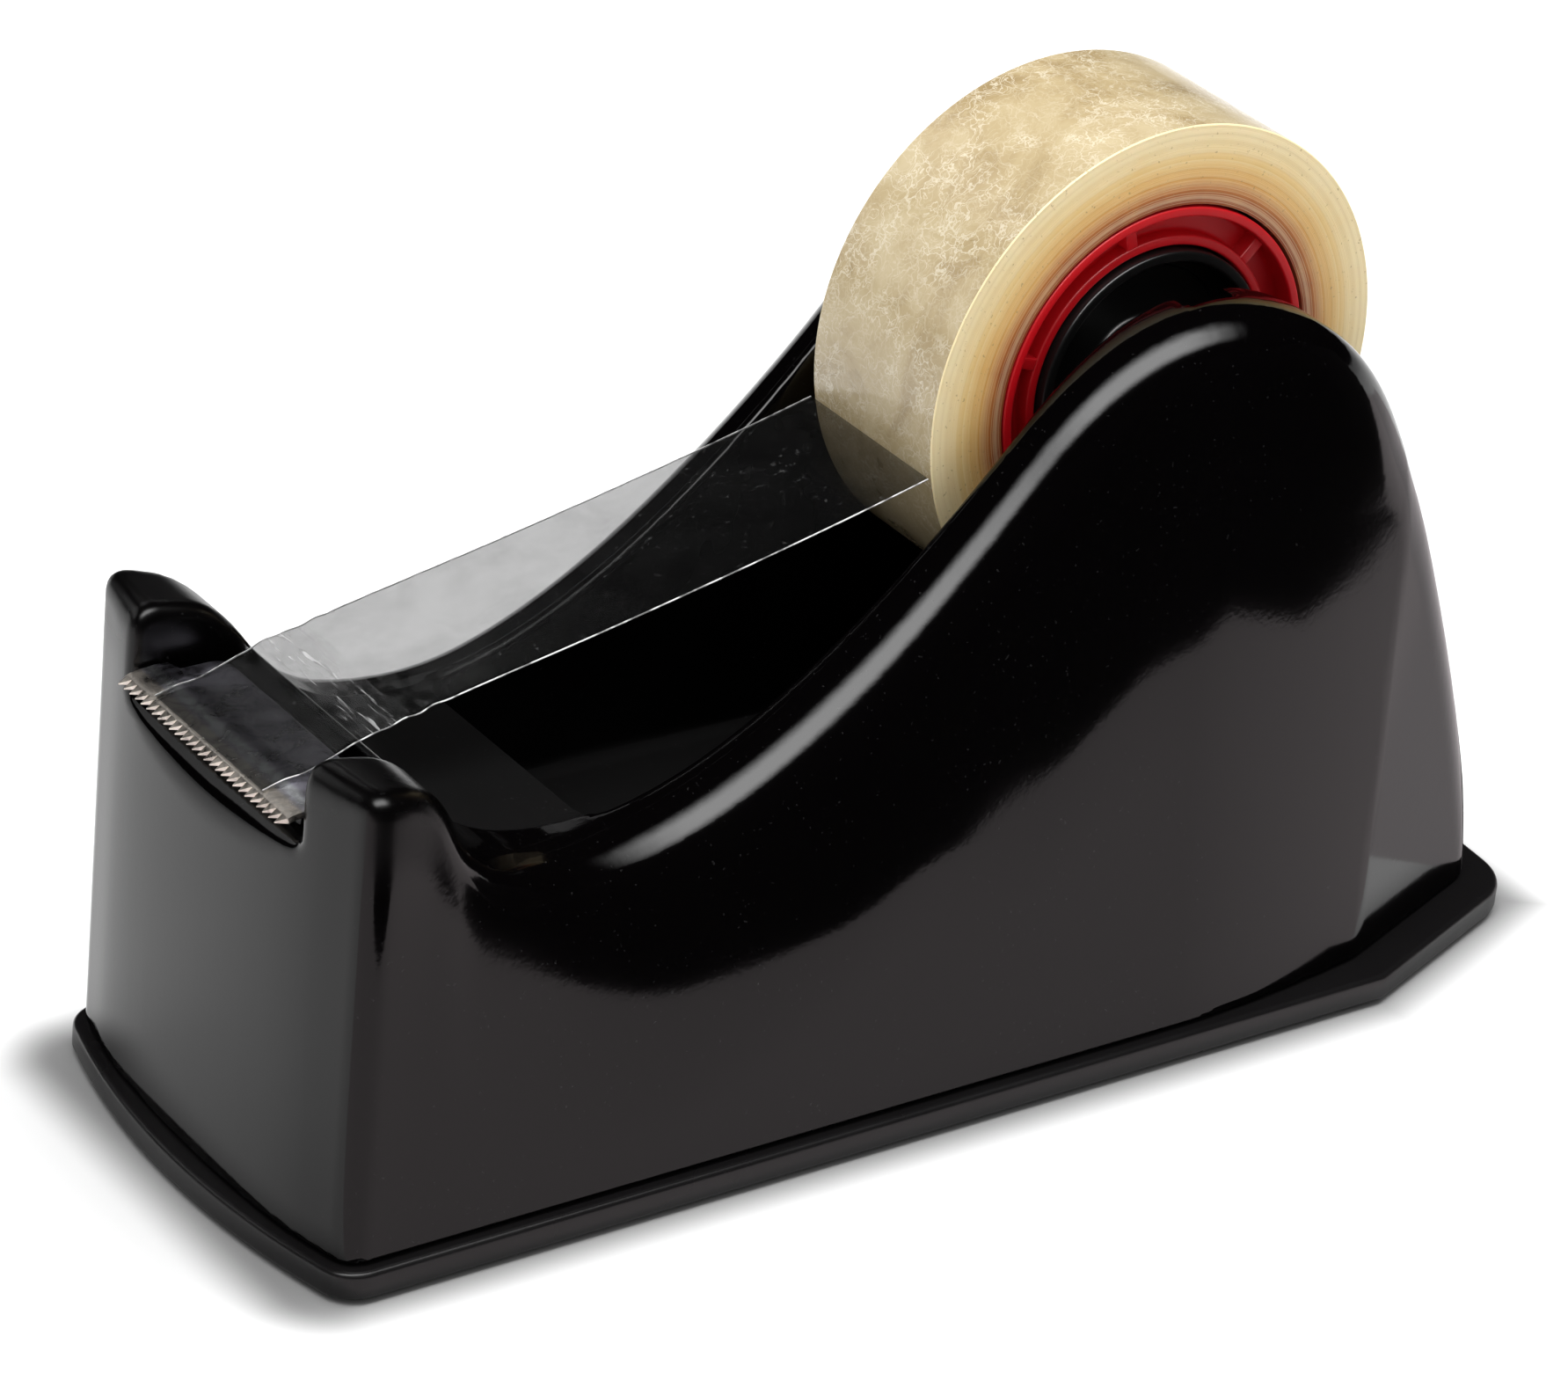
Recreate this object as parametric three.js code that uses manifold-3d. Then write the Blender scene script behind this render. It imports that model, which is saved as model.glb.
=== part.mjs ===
// Weighted desk tape dispenser for 19 mm tape on a 26 mm core.
// Millimetres, +Z up, +X towards the back, the cutting blade at -X.
// The origin is on the table surface, under the middle of the base.
import * as THREE from "three";
import { mergeVertices } from "three/addons/utils/BufferGeometryUtils.js";
import Module from "manifold-3d";

const wasm = await Module();
wasm.setup();

// ---- Driving dimensions --------------------------------------------------

const GAP = 0.3; // clearance between pieces that touch

const LENGTH = 148;
const BASE_HALF_WIDTH = 25.6;
const FRONT_BOW = 3.7; // how far the front edge bulges out at its middle
const FRONT_CORNER = 4;
const TAPER_START_X = 48.6; // behind here the sides draw in
const TAPER_ANGLE = THREE.MathUtils.degToRad(21.35);
const REAR_CORNER = 7;
const REAR_BOW = 1.2;

const FOOT_DROP = 0.4; // the feet lift the base plate this far
const BASE_TOP = 3.3;
const BASE_EDGE = 0.6; // rounding of the base plate's rim
const LIP_HEIGHT = 2; // locating lip that stands up inside the housing
const LIP_THICKNESS = 1.4;
const LIP_CLEARANCE = 1.8; // room for the draft of the housing's back wall

const HOUSING_INSET = 1.2; // the base plate stands out this far all round
const HOUSING_BOTTOM = BASE_TOP + GAP;
const WALL = 2.2;
const RIM = 2.2; // rounding of the housing's long edges
const POST_TOP = 51;
const DIP = 37.1; // lowest point of the saddle between post and crest
const DIP_X = -43;
const CREST = 77.5;
const CREST_X = 22.5;
const REAR_FOOT_X = 71.6; // where the sloping back meets the base

const NOTCH_HALF_WIDTH = 14.72; // gap between the two posts
const NOTCH_REAR_X = -59.8;
const LEDGE = 41; // floor of the gap, below the blade
const ANVIL_HALF_WIDTH = 12;
const ANVIL_FRONT_X = -69;
const ANVIL_REAR_X = -63.2;

const WELL_FRONT_X = -40.3;
const WELL_REAR_X = 50.6;
const WELL_HALF_WIDTH = 13.8;
const WELL_FLOOR = 24;
const WELL_CORNER = 1.8;

const REEL_X = 22.9;
const REEL_Z = 66.2;
const TAPE_WIDTH = 19;
const ROLL_RADIUS = 25.48;
const CORE_OUTER = 17.3;
const CORE_BORE = 13.08;
const CORE_RING = 1.2; // wall of the core's outer and inner rings
const CORE_WEB = 12.6; // the web fills the core between its end pockets
const CORE_RECESS = 0.5; // the ribs stop this far below the core's end faces
const RIB_COUNT = 6;
const RIB_THICKNESS = 1.2;
const HUB_RADIUS = CORE_BORE - GAP;
const HUB_RIM = 1.1;
const HUB_BOSS = 4.8;
const HUB_RECESS = 3.4; // depth of the hub's dished ends
const HUB_WEB = 1.6;
const AXLE_RADIUS = 2.4;
const AXLE_HALF_LENGTH = 15.6;
const AXLE_CHAMFER = 0.5;
const SLOT_HALF_WIDTH = AXLE_RADIUS + 0.4;
const SLOT_DEPTH = 2.25; // how far each slot cuts into its flank

const SHEET = 0.6; // blade steel
const BLADE_HALF_WIDTH = 14.3;
const LANDING_HALF_WIDTH = 12.8;
const LANDING_TOP = 45.4;
const LANDING_REAR_X = -62.4;
const LANDING_CORNER = 2;
const BEND_X = -69.6; // where the blade turns down towards its teeth
const TEETH_X = -72.4;
const TEETH_Z = 44.3;
const TOOTH_COUNT = 28;
const TOOTH_DEPTH = 0.8;
const LANDING_SKIRT = 1.3; // the landing's back edge turns down by this

const LEAD_THICKNESS = 0.15;
const LEAD_END_X = -72;
const LEAD_HUMP_X = -60.4; // the film lifts off the landing and bows up to here
const LEAD_HUMP_Z = 48.2;
const PEEL_ANGLE = THREE.MathUtils.degToRad(193); // where the film leaves the roll

const FOOT_RADIUS = 4;
const FOOT_RECESS_TOP = 1.8;
const FOOT_PLACES = [[-50, -17.5], [-50, 17.5], [42, -17.5], [42, 17.5]];
const BOSS_RADIUS = 3.2;
const BOSS_PLACES = [[-62.5, -16], [-62.5, 16], [57, -13.5], [57, 13.5]];
const SCREW_HEAD = 2.9;
const SCREW_HEAD_HEIGHT = 1.3;
const SCREW_SHANK = 1.2;
const SCREW_TIP = 13;
const BALLAST_SCREW_PLACES = [[-49.5, 0], [5, 0]];

const BALLAST_HALF_WIDTH = 17.8;
const FRONT_BALLAST = { from: -57.4, to: -43, top: 32 };
const REAR_BALLAST = { from: -38, to: 49, top: WELL_FLOOR - WALL - GAP };
const BALLAST_EDGE = 1.2;

const FAR = 120; // reach of a cutting tool that must pass right through

// ---- Solids --------------------------------------------------------------

function solidFrom(geometry) {
  const bare = geometry.clone();
  bare.deleteAttribute("normal");
  bare.deleteAttribute("uv");
  const merged = mergeVertices(bare, 1e-4);
  return new wasm.Manifold(
    new wasm.Mesh({
      numProp: 3,
      vertProperties: new Float32Array(merged.attributes.position.array),
      triVerts: new Uint32Array(merged.index.array),
    }),
  );
}

function geometryFrom(solid) {
  const mesh = solid.getMesh();
  const geometry = new THREE.BufferGeometry();
  geometry.setAttribute("position", new THREE.BufferAttribute(mesh.vertProperties, 3));
  geometry.setIndex(new THREE.BufferAttribute(mesh.triVerts, 1));
  const flat = geometry.toNonIndexed();
  flat.computeVertexNormals();
  return flat;
}

function joined(solids) {
  return solids.reduce((whole, piece) => whole.add(piece));
}

function box(low, high) {
  const size = high.map((value, axis) => value - low[axis]);
  const geometry = new THREE.BoxGeometry(...size);
  geometry.translate(...low.map((value, axis) => value + size[axis] / 2));
  return solidFrom(geometry);
}

// An outline drawn in X and Y, raised from one height to another.
function raised(outline, bottom, top, edge = 0) {
  const geometry = new THREE.ExtrudeGeometry(new THREE.Shape(outline), {
    depth: top - bottom - 2 * edge,
    bevelEnabled: edge > 0,
    bevelThickness: edge,
    bevelSize: edge,
    bevelOffset: -edge,
    bevelSegments: 3,
  });
  geometry.translate(0, 0, bottom + edge);
  return solidFrom(geometry);
}

// An outline drawn in X and Z, carried across the width on both sides of the middle.
function across(outline, halfWidth, edge = 0) {
  const geometry = new THREE.ExtrudeGeometry(new THREE.Shape(outline), {
    depth: 2 * (halfWidth - edge),
    bevelEnabled: edge > 0,
    bevelThickness: edge,
    bevelSize: edge,
    bevelOffset: -edge,
    bevelSegments: 3,
  });
  geometry.rotateX(Math.PI / 2);
  geometry.translate(0, halfWidth - edge, 0);
  return solidFrom(geometry);
}

// A profile of [radius, y] points turned about the Y axis.
function turned(profile, sides) {
  const points = profile.map(([radius, y]) => new THREE.Vector2(radius, y));
  return solidFrom(new THREE.LatheGeometry(points, sides));
}

// A ring between two radii and two places on the Y axis.
function ring(inner, outer, low, high, sides) {
  return turned([[inner, low], [outer, low], [outer, high], [inner, high], [inner, low]], sides);
}

// An upright round bar.
function post(x, y, radius, bottom, top, sides = 20) {
  const geometry = new THREE.CylinderGeometry(radius, radius, top - bottom, sides);
  geometry.rotateX(Math.PI / 2);
  geometry.translate(x, y, (bottom + top) / 2);
  return solidFrom(geometry);
}

// ---- Outlines ------------------------------------------------------------

// A closed outline of [a, b, radius] corners, with an arc at each rounded corner.
function rounded(corners, steps = 6) {
  const outline = [];
  corners.forEach(([a, b, radius = 0], index) => {
    const here = new THREE.Vector2(a, b);
    if (!radius) {
      outline.push(here);
      return;
    }
    const before = corners[(index + corners.length - 1) % corners.length];
    const after = corners[(index + 1) % corners.length];
    const inward = new THREE.Vector2(before[0], before[1]).sub(here).normalize();
    const outward = new THREE.Vector2(after[0], after[1]).sub(here).normalize();
    const half = Math.acos(THREE.MathUtils.clamp(inward.dot(outward), -1, 1)) / 2;
    const centre = inward.clone().add(outward).normalize();
    centre.multiplyScalar(radius / Math.sin(half)).add(here);
    const start = inward.multiplyScalar(radius / Math.tan(half)).add(here).sub(centre);
    const end = outward.multiplyScalar(radius / Math.tan(half)).add(here).sub(centre);
    const from = start.angle();
    let turn = end.angle() - from;
    if (turn > Math.PI) turn -= 2 * Math.PI;
    if (turn < -Math.PI) turn += 2 * Math.PI;
    for (let step = 0; step <= steps; step += 1) {
      const angle = from + (turn * step) / steps;
      const spoke = new THREE.Vector2(Math.cos(angle), Math.sin(angle));
      outline.push(spoke.multiplyScalar(radius).add(centre));
    }
  });
  return outline;
}

// The base's outline seen from above, drawn in by an inset all round.
function plan(inset) {
  const halfWidth = BASE_HALF_WIDTH - inset;
  const rearX = LENGTH / 2 - inset;
  const taperX = TAPER_START_X - inset * Math.tan(TAPER_ANGLE / 2);
  const rearCornerX = rearX - REAR_BOW;
  const rearHalfWidth = halfWidth - (rearCornerX - taperX) * Math.tan(TAPER_ANGLE);
  const corners = [];
  const bowSteps = 12;
  for (let step = 0; step <= bowSteps; step += 1) {
    const y = halfWidth * (1 - (2 * step) / bowSteps);
    const x = -LENGTH / 2 + inset + FRONT_BOW * (y / BASE_HALF_WIDTH) ** 2;
    const atCorner = step === 0 || step === bowSteps;
    corners.push([x, y, atCorner ? Math.max(FRONT_CORNER - inset, 1) : 0]);
  }
  corners.push([taperX, -halfWidth, 0]);
  corners.push([rearCornerX, -rearHalfWidth, Math.max(REAR_CORNER - inset, 1)]);
  corners.push([rearX, 0, 0]);
  corners.push([rearCornerX, rearHalfWidth, Math.max(REAR_CORNER - inset, 1)]);
  corners.push([taperX, halfWidth, 0]);
  return rounded(corners);
}

// The housing seen from the side: front wall, post, saddle, crest and sloping back.
function sideProfile() {
  const frontX = -LENGTH / 2 + HOUSING_INSET;
  const path = new THREE.Path();
  path.moveTo(frontX, -FAR);
  path.lineTo(frontX + 0.3, POST_TOP - 4);
  path.quadraticCurveTo(frontX + 0.4, POST_TOP - 0.6, frontX + 4, POST_TOP - 0.1);
  path.quadraticCurveTo(-66.8, POST_TOP + 0.1, -65.6, POST_TOP);
  path.bezierCurveTo(-62.3, POST_TOP - 0.9, -61.2, 48.2, -59.6, 45.8);
  path.bezierCurveTo(-56.8, 41.3, -53.5, DIP, DIP_X, DIP);
  path.bezierCurveTo(-27, DIP, -10, 51.5, 3.5, 66.5);
  path.bezierCurveTo(8.5, 72.05, 14.5, CREST, CREST_X, CREST);
  path.bezierCurveTo(32, CREST, 41.3, 70.1, 46.3, 61.4);
  path.bezierCurveTo(55.7, 44.9, 66.6, 22.5, REAR_FOOT_X, HOUSING_BOTTOM);
  path.lineTo(REAR_FOOT_X, -FAR);
  return path.getPoints(7);
}

// An outline moved inwards by a wall thickness, corner by corner.
function movedIn(outline, distance) {
  const sign = THREE.ShapeUtils.area(outline) > 0 ? 1 : -1;
  const inner = outline.map((here, index) => {
    const before = outline[(index + outline.length - 1) % outline.length];
    const after = outline[(index + 1) % outline.length];
    const first = here.clone().sub(before).normalize();
    const second = after.clone().sub(here).normalize();
    const normal = new THREE.Vector2(-first.y - second.y, first.x + second.x).normalize();
    const stretch = Math.max(normal.dot(new THREE.Vector2(-first.y, first.x)), 0.5);
    return here.clone().addScaledVector(normal, (sign * distance) / stretch);
  });
  return inner;
}

// ---- Housing -------------------------------------------------------------

function wellTool(grow) {
  const corner = WELL_CORNER + grow;
  const halfWidth = WELL_HALF_WIDTH + grow;
  const outline = rounded([
    [WELL_FRONT_X - grow, halfWidth, corner],
    [WELL_FRONT_X - grow, -halfWidth, corner],
    [WELL_REAR_X + grow, -halfWidth, corner],
    [WELL_REAR_X + grow, halfWidth, corner],
  ], 3);
  return raised(outline, WELL_FLOOR - grow, FAR);
}

// The gap between the posts, with the anvil that carries the blade left standing.
function notchTool() {
  const gap = box([-FAR, -NOTCH_HALF_WIDTH, LEDGE], [NOTCH_REAR_X, NOTCH_HALF_WIDTH, FAR]);
  const anvilTop = LANDING_TOP - SHEET - GAP;
  const anvilLow = [ANVIL_FRONT_X, -ANVIL_HALF_WIDTH, LEDGE - 1];
  return gap.subtract(box(anvilLow, [ANVIL_REAR_X, ANVIL_HALF_WIDTH, anvilTop]));
}

function slotTool(side) {
  const reach = WELL_HALF_WIDTH + SLOT_DEPTH;
  const bottom = new THREE.CylinderGeometry(SLOT_HALF_WIDTH, SLOT_HALF_WIDTH, reach, 24);
  bottom.translate(REEL_X, (side * reach) / 2, REEL_Z);
  const inner = side > 0 ? 0 : -reach;
  const low = [REEL_X - SLOT_HALF_WIDTH, inner, REEL_Z];
  const upright = box(low, [REEL_X + SLOT_HALF_WIDTH, inner + reach, FAR]);
  return upright.add(solidFrom(bottom));
}

function housingSolid() {
  const profile = sideProfile();
  const halfWidth = BASE_HALF_WIDTH - HOUSING_INSET;
  const footprint = raised(plan(HOUSING_INSET), HOUSING_BOTTOM, FAR);
  const body = across(profile, halfWidth, RIM).intersect(footprint);

  const slotBlock = SLOT_HALF_WIDTH + WALL;
  const slotBack = WELL_HALF_WIDTH + SLOT_DEPTH + WALL;
  const hollow = across(movedIn(profile, WALL), halfWidth - WALL)
    .intersect(raised(plan(HOUSING_INSET + WALL), -FAR, FAR))
    .subtract(wellTool(WALL))
    .subtract(box([-FAR, -NOTCH_HALF_WIDTH - WALL, LEDGE - WALL],
      [NOTCH_REAR_X + WALL, NOTCH_HALF_WIDTH + WALL, FAR]))
    .subtract(box([REEL_X - slotBlock, -slotBack, REEL_Z - slotBlock],
      [REEL_X + slotBlock, slotBack, FAR]))
    .subtract(joined(BOSS_PLACES.map(([x, y]) => post(x, y, BOSS_RADIUS, -FAR, FAR, 16))));

  const pilots = joined(BOSS_PLACES.map(([x, y]) => (
    post(x, y, SCREW_SHANK + GAP, 0, SCREW_TIP + 1, 12))));
  return body
    .subtract(hollow)
    .subtract(wellTool(0))
    .subtract(notchTool())
    .subtract(slotTool(-1))
    .subtract(slotTool(1))
    .subtract(pilots);
}

// ---- Base plate, ballast, screws and feet ---------------------------------

function basePlateSolid() {
  const lipInset = HOUSING_INSET + WALL + LIP_CLEARANCE;
  const lip = raised(plan(lipInset), BASE_TOP - 1, BASE_TOP + LIP_HEIGHT)
    .subtract(raised(plan(lipInset + LIP_THICKNESS), BASE_TOP - 2, BASE_TOP + LIP_HEIGHT + 1));
  const bossRoom = joined(BOSS_PLACES.map(([x, y]) => (
    post(x, y, BOSS_RADIUS + GAP, BASE_TOP, FAR, 16))));
  const screws = [...BOSS_PLACES, ...BALLAST_SCREW_PLACES];
  const headRoom = joined(screws.map(([x, y]) => (
    post(x, y, SCREW_HEAD + GAP, -1, FOOT_DROP + GAP + SCREW_HEAD_HEIGHT + GAP))));
  const shankRoom = joined(screws.map(([x, y]) => post(x, y, SCREW_SHANK + GAP, -1, FAR, 12)));
  const footRoom = joined(FOOT_PLACES.map(([x, y]) => (
    post(x, y, FOOT_RADIUS + GAP, -1, FOOT_RECESS_TOP, 24))));
  return raised(plan(0), FOOT_DROP, BASE_TOP, BASE_EDGE)
    .add(lip.subtract(bossRoom))
    .subtract(headRoom)
    .subtract(shankRoom)
    .subtract(footRoom);
}

function ballastSolid({ from, to, top }, [screwX, screwY]) {
  const outline = rounded([
    [from, BALLAST_HALF_WIDTH, 3],
    [from, -BALLAST_HALF_WIDTH, 3],
    [to, -BALLAST_HALF_WIDTH, 3],
    [to, BALLAST_HALF_WIDTH, 3],
  ], 4);
  return raised(outline, HOUSING_BOTTOM, top, BALLAST_EDGE)
    .subtract(post(screwX, screwY, SCREW_SHANK + GAP, 0, SCREW_TIP + 1, 12));
}

// A countersunk-style screw standing head down, with a cross recess in its head.
function screwSolid(x, y) {
  const headBottom = FOOT_DROP + GAP;
  const headTop = headBottom + SCREW_HEAD_HEIGHT;
  const recessTop = headBottom + 0.8;
  const crossLong = 1.7;
  const crossHalf = 0.3;
  return post(x, y, SCREW_HEAD, headBottom, headTop)
    .add(post(x, y, SCREW_SHANK, headTop - 0.1, SCREW_TIP, 12))
    .subtract(box([x - crossLong, y - crossHalf, 0], [x + crossLong, y + crossHalf, recessTop]))
    .subtract(box([x - crossHalf, y - crossLong, 0], [x + crossHalf, y + crossLong, recessTop]));
}

// A low rubber button with a rounded lower edge.
function footSolid(x, y) {
  const top = FOOT_RECESS_TOP - GAP;
  const edge = 0.4;
  const profile = [[0, 0], [FOOT_RADIUS - edge, 0], [FOOT_RADIUS, edge], [FOOT_RADIUS, top], [0, top]];
  const points = profile.map(([radius, height]) => new THREE.Vector2(radius, height));
  const geometry = new THREE.LatheGeometry(points, 24);
  geometry.rotateX(Math.PI / 2);
  geometry.translate(x, y, 0);
  return solidFrom(geometry);
}

// ---- Blade and the film that lies on it ------------------------------------

function bladeSolid() {
  const under = LANDING_TOP - SHEET;
  const flange = across([
    new THREE.Vector2(ANVIL_FRONT_X + 1.5, LANDING_TOP),
    new THREE.Vector2(BEND_X, LANDING_TOP),
    new THREE.Vector2(TEETH_X, TEETH_Z),
    new THREE.Vector2(TEETH_X + 0.25, TEETH_Z - SHEET),
    new THREE.Vector2(BEND_X - 0.1, under),
    new THREE.Vector2(ANVIL_FRONT_X + 1.5, under),
  ], BLADE_HALF_WIDTH);
  const landing = raised(rounded([
    [BEND_X, LANDING_HALF_WIDTH, 0],
    [BEND_X, -LANDING_HALF_WIDTH, 0],
    [LANDING_REAR_X, -LANDING_HALF_WIDTH, LANDING_CORNER],
    [LANDING_REAR_X, LANDING_HALF_WIDTH, LANDING_CORNER],
  ], 4), under, LANDING_TOP);
  const skirtReach = LANDING_HALF_WIDTH - LANDING_CORNER;
  const skirt = box([LANDING_REAR_X - SHEET, -skirtReach, LANDING_TOP - LANDING_SKIRT - SHEET],
    [LANDING_REAR_X, skirtReach, under + 0.1]);
  return joined([flange, landing, skirt]).subtract(toothGaps());
}

// V-shaped cuts along the blade's front edge that leave a row of teeth.
function toothGaps() {
  const pitch = (2 * BLADE_HALF_WIDTH) / TOOTH_COUNT;
  const gaps = [];
  for (let tooth = 0; tooth < TOOTH_COUNT; tooth += 1) {
    const y = -BLADE_HALF_WIDTH + pitch * tooth;
    gaps.push(raised([
      new THREE.Vector2(TEETH_X - 1, y + 0.05),
      new THREE.Vector2(TEETH_X - 1, y + pitch - 0.05),
      new THREE.Vector2(TEETH_X + TOOTH_DEPTH, y + pitch * 0.8),
    ].reverse(), TEETH_Z - 2, LANDING_TOP + 1));
  }
  return joined(gaps);
}

// The film pulled off the roll, over the saddle, down onto the blade.
function leadSolid() {
  const radius = ROLL_RADIUS + GAP;
  const peelX = REEL_X + radius * Math.cos(PEEL_ANGLE);
  const peelZ = REEL_Z + radius * Math.sin(PEEL_ANGLE);
  const lower = [
    new THREE.Vector2(LEAD_END_X, TEETH_Z + 0.2 + GAP),
    new THREE.Vector2(BEND_X, LANDING_TOP + GAP),
    new THREE.Vector2(LEAD_HUMP_X, LEAD_HUMP_Z),
    new THREE.Vector2(peelX, peelZ),
  ];
  const upper = lower.map((point) => point.clone().add(new THREE.Vector2(0, LEAD_THICKNESS)));
  return across([...lower, ...upper.reverse()], TAPE_WIDTH / 2);
}

// ---- Reel: roll, core, hub halves and axle ---------------------------------

function rollSolid() {
  const half = TAPE_WIDTH / 2;
  return ring(CORE_OUTER + GAP, ROLL_RADIUS, -half, half, 72);
}

function coreSolid() {
  const half = TAPE_WIDTH / 2;
  const sides = 48;
  const middle = (CORE_BORE + CORE_OUTER) / 2;
  const outerRing = ring(CORE_OUTER - CORE_RING, CORE_OUTER, -half, half, sides);
  const innerRing = ring(CORE_BORE, CORE_BORE + CORE_RING, -half, half, sides);
  const web = ring(CORE_BORE + 0.5, CORE_OUTER - 0.5, -CORE_WEB / 2, CORE_WEB / 2, sides);
  const ribs = [];
  for (let rib = 0; rib < RIB_COUNT; rib += 1) {
    const reach = (CORE_OUTER - CORE_BORE) / 2 - 0.4;
    const depth = half - CORE_RECESS;
    const geometry = new THREE.BoxGeometry(2 * reach, 2 * depth, RIB_THICKNESS);
    geometry.translate(middle, 0, 0);
    geometry.rotateY((2 * Math.PI * rib) / RIB_COUNT + Math.PI / 12);
    ribs.push(solidFrom(geometry));
  }
  return joined([outerRing, innerRing, web, ...ribs]);
}

// One half of the hub: a rim, a dished disc and a boss round the axle.
function hubSolid(side) {
  const inner = GAP / 2;
  const outer = TAPE_WIDTH / 2 - 0.2;
  const discOuter = outer - HUB_RECESS;
  const rim = HUB_RADIUS - HUB_RIM;
  const bore = AXLE_RADIUS + GAP;
  const profile = [
    [bore, inner], [HUB_RADIUS, inner], [HUB_RADIUS, outer], [rim, outer],
    [rim, discOuter], [HUB_BOSS, discOuter], [HUB_BOSS, outer], [bore, outer], [bore, inner],
  ];
  const relief = ring(HUB_BOSS, rim, -1, discOuter - HUB_WEB, 40);
  const half = turned(profile, 40).subtract(relief);
  return side > 0 ? half : half.rotate([180, 0, 0]);
}

function axleSolid() {
  const tip = AXLE_RADIUS - AXLE_CHAMFER;
  const shoulder = AXLE_HALF_LENGTH - AXLE_CHAMFER;
  return turned([
    [0, -AXLE_HALF_LENGTH], [tip, -AXLE_HALF_LENGTH], [AXLE_RADIUS, -shoulder],
    [AXLE_RADIUS, shoulder], [tip, AXLE_HALF_LENGTH], [0, AXLE_HALF_LENGTH],
  ], 24);
}

// ---- Scene graph -----------------------------------------------------------

const FINISHES = {
  glossBlack: { color: 0x0c0c0e, roughness: 0.22, metalness: 0 },
  satinBlack: { color: 0x1a1a1c, roughness: 0.5, metalness: 0 },
  rubber: { color: 0x202022, roughness: 0.9, metalness: 0 },
  castIron: { color: 0x4a4a4c, roughness: 0.7, metalness: 0.8 },
  steel: { color: 0xb9bcc2, roughness: 0.25, metalness: 1 },
  redPlastic: { color: 0x9c1418, roughness: 0.4, metalness: 0 },
  woundTape: { color: 0xe3cf9a, roughness: 0.3, metalness: 0 },
  clearFilm: { color: 0xcfd0cc, roughness: 0.15, metalness: 0 },
};

function piece(name, solid, finish) {
  const mesh = new THREE.Mesh(geometryFrom(solid), new THREE.MeshStandardMaterial(FINISHES[finish]));
  mesh.name = name;
  return mesh;
}

function stand() {
  const group = new THREE.Group();
  group.add(piece("housing", housingSolid(), "glossBlack"));
  group.add(piece("base_plate", basePlateSolid(), "satinBlack"));
  group.add(piece("cutting_blade", bladeSolid(), "steel"));
  group.add(piece("ballast_front", ballastSolid(FRONT_BALLAST, BALLAST_SCREW_PLACES[0]), "castIron"));
  group.add(piece("ballast_rear", ballastSolid(REAR_BALLAST, BALLAST_SCREW_PLACES[1]), "castIron"));
  BALLAST_SCREW_PLACES.forEach(([x, y], index) => {
    group.add(piece(`ballast_screw_${index + 1}`, screwSolid(x, y), "steel"));
  });
  BOSS_PLACES.forEach(([x, y], index) => {
    group.add(piece(`base_screw_${index + 1}`, screwSolid(x, y), "steel"));
  });
  FOOT_PLACES.forEach(([x, y], index) => {
    group.add(piece(`foot_${index + 1}`, footSolid(x, y), "rubber"));
  });
  return group;
}

function reel() {
  const group = new THREE.Group();
  group.position.set(REEL_X, 0, REEL_Z);
  group.add(piece("tape_roll", rollSolid(), "woundTape"));
  group.add(piece("tape_core", coreSolid(), "redPlastic"));
  group.add(piece("hub_half_near", hubSolid(-1), "satinBlack"));
  group.add(piece("hub_half_far", hubSolid(1), "satinBlack"));
  group.add(piece("axle_rod", axleSolid(), "satinBlack"));
  return group;
}

const dispenser = new THREE.Group();
dispenser.add(stand());
dispenser.add(reel());
dispenser.add(piece("tape_lead", leadSolid(), "clearFilm"));

export default dispenser;
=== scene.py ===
"""Looks for a weighted desk tape dispenser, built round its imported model.

Every piece is made in metres in the model's own frame: the blade at -X, +Z up, and the
origin on the table under the middle of the base. Sizes are written in millimetres and
scaled by MM where meshes are made.
"""

import logging
import math
from dataclasses import dataclass
from enum import Enum
from typing import Callable, Sequence

import bmesh
import bpy
import numpy as np
from mathutils import Matrix, Vector


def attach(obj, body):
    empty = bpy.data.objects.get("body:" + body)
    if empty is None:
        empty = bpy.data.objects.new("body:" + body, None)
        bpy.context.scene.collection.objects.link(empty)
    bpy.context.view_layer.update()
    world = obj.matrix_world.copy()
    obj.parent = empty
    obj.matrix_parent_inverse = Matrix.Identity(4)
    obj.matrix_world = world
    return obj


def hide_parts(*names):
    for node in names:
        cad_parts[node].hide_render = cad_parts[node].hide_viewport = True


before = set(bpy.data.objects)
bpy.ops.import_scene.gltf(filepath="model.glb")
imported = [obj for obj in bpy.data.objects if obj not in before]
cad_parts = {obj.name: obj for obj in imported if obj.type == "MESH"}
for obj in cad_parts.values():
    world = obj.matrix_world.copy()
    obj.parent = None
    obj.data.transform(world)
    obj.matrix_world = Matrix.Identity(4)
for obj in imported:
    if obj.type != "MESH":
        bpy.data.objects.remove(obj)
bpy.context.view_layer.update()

MM = 0.001
LOG = logging.getLogger("dispenser")

Array = np.ndarray
Pair = tuple[float, float]
Place = tuple[float, float, float]
Colour = tuple[float, float, float, float]
Socket = bpy.types.NodeSocket
Material = bpy.types.Material
Thing = bpy.types.Object


class Body(Enum):
    """The moving bodies of the model that pieces ride on."""

    STAND = "stand"
    AXLE = "axle"
    REEL = "reel"


# ---- Node tree helper ----


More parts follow.
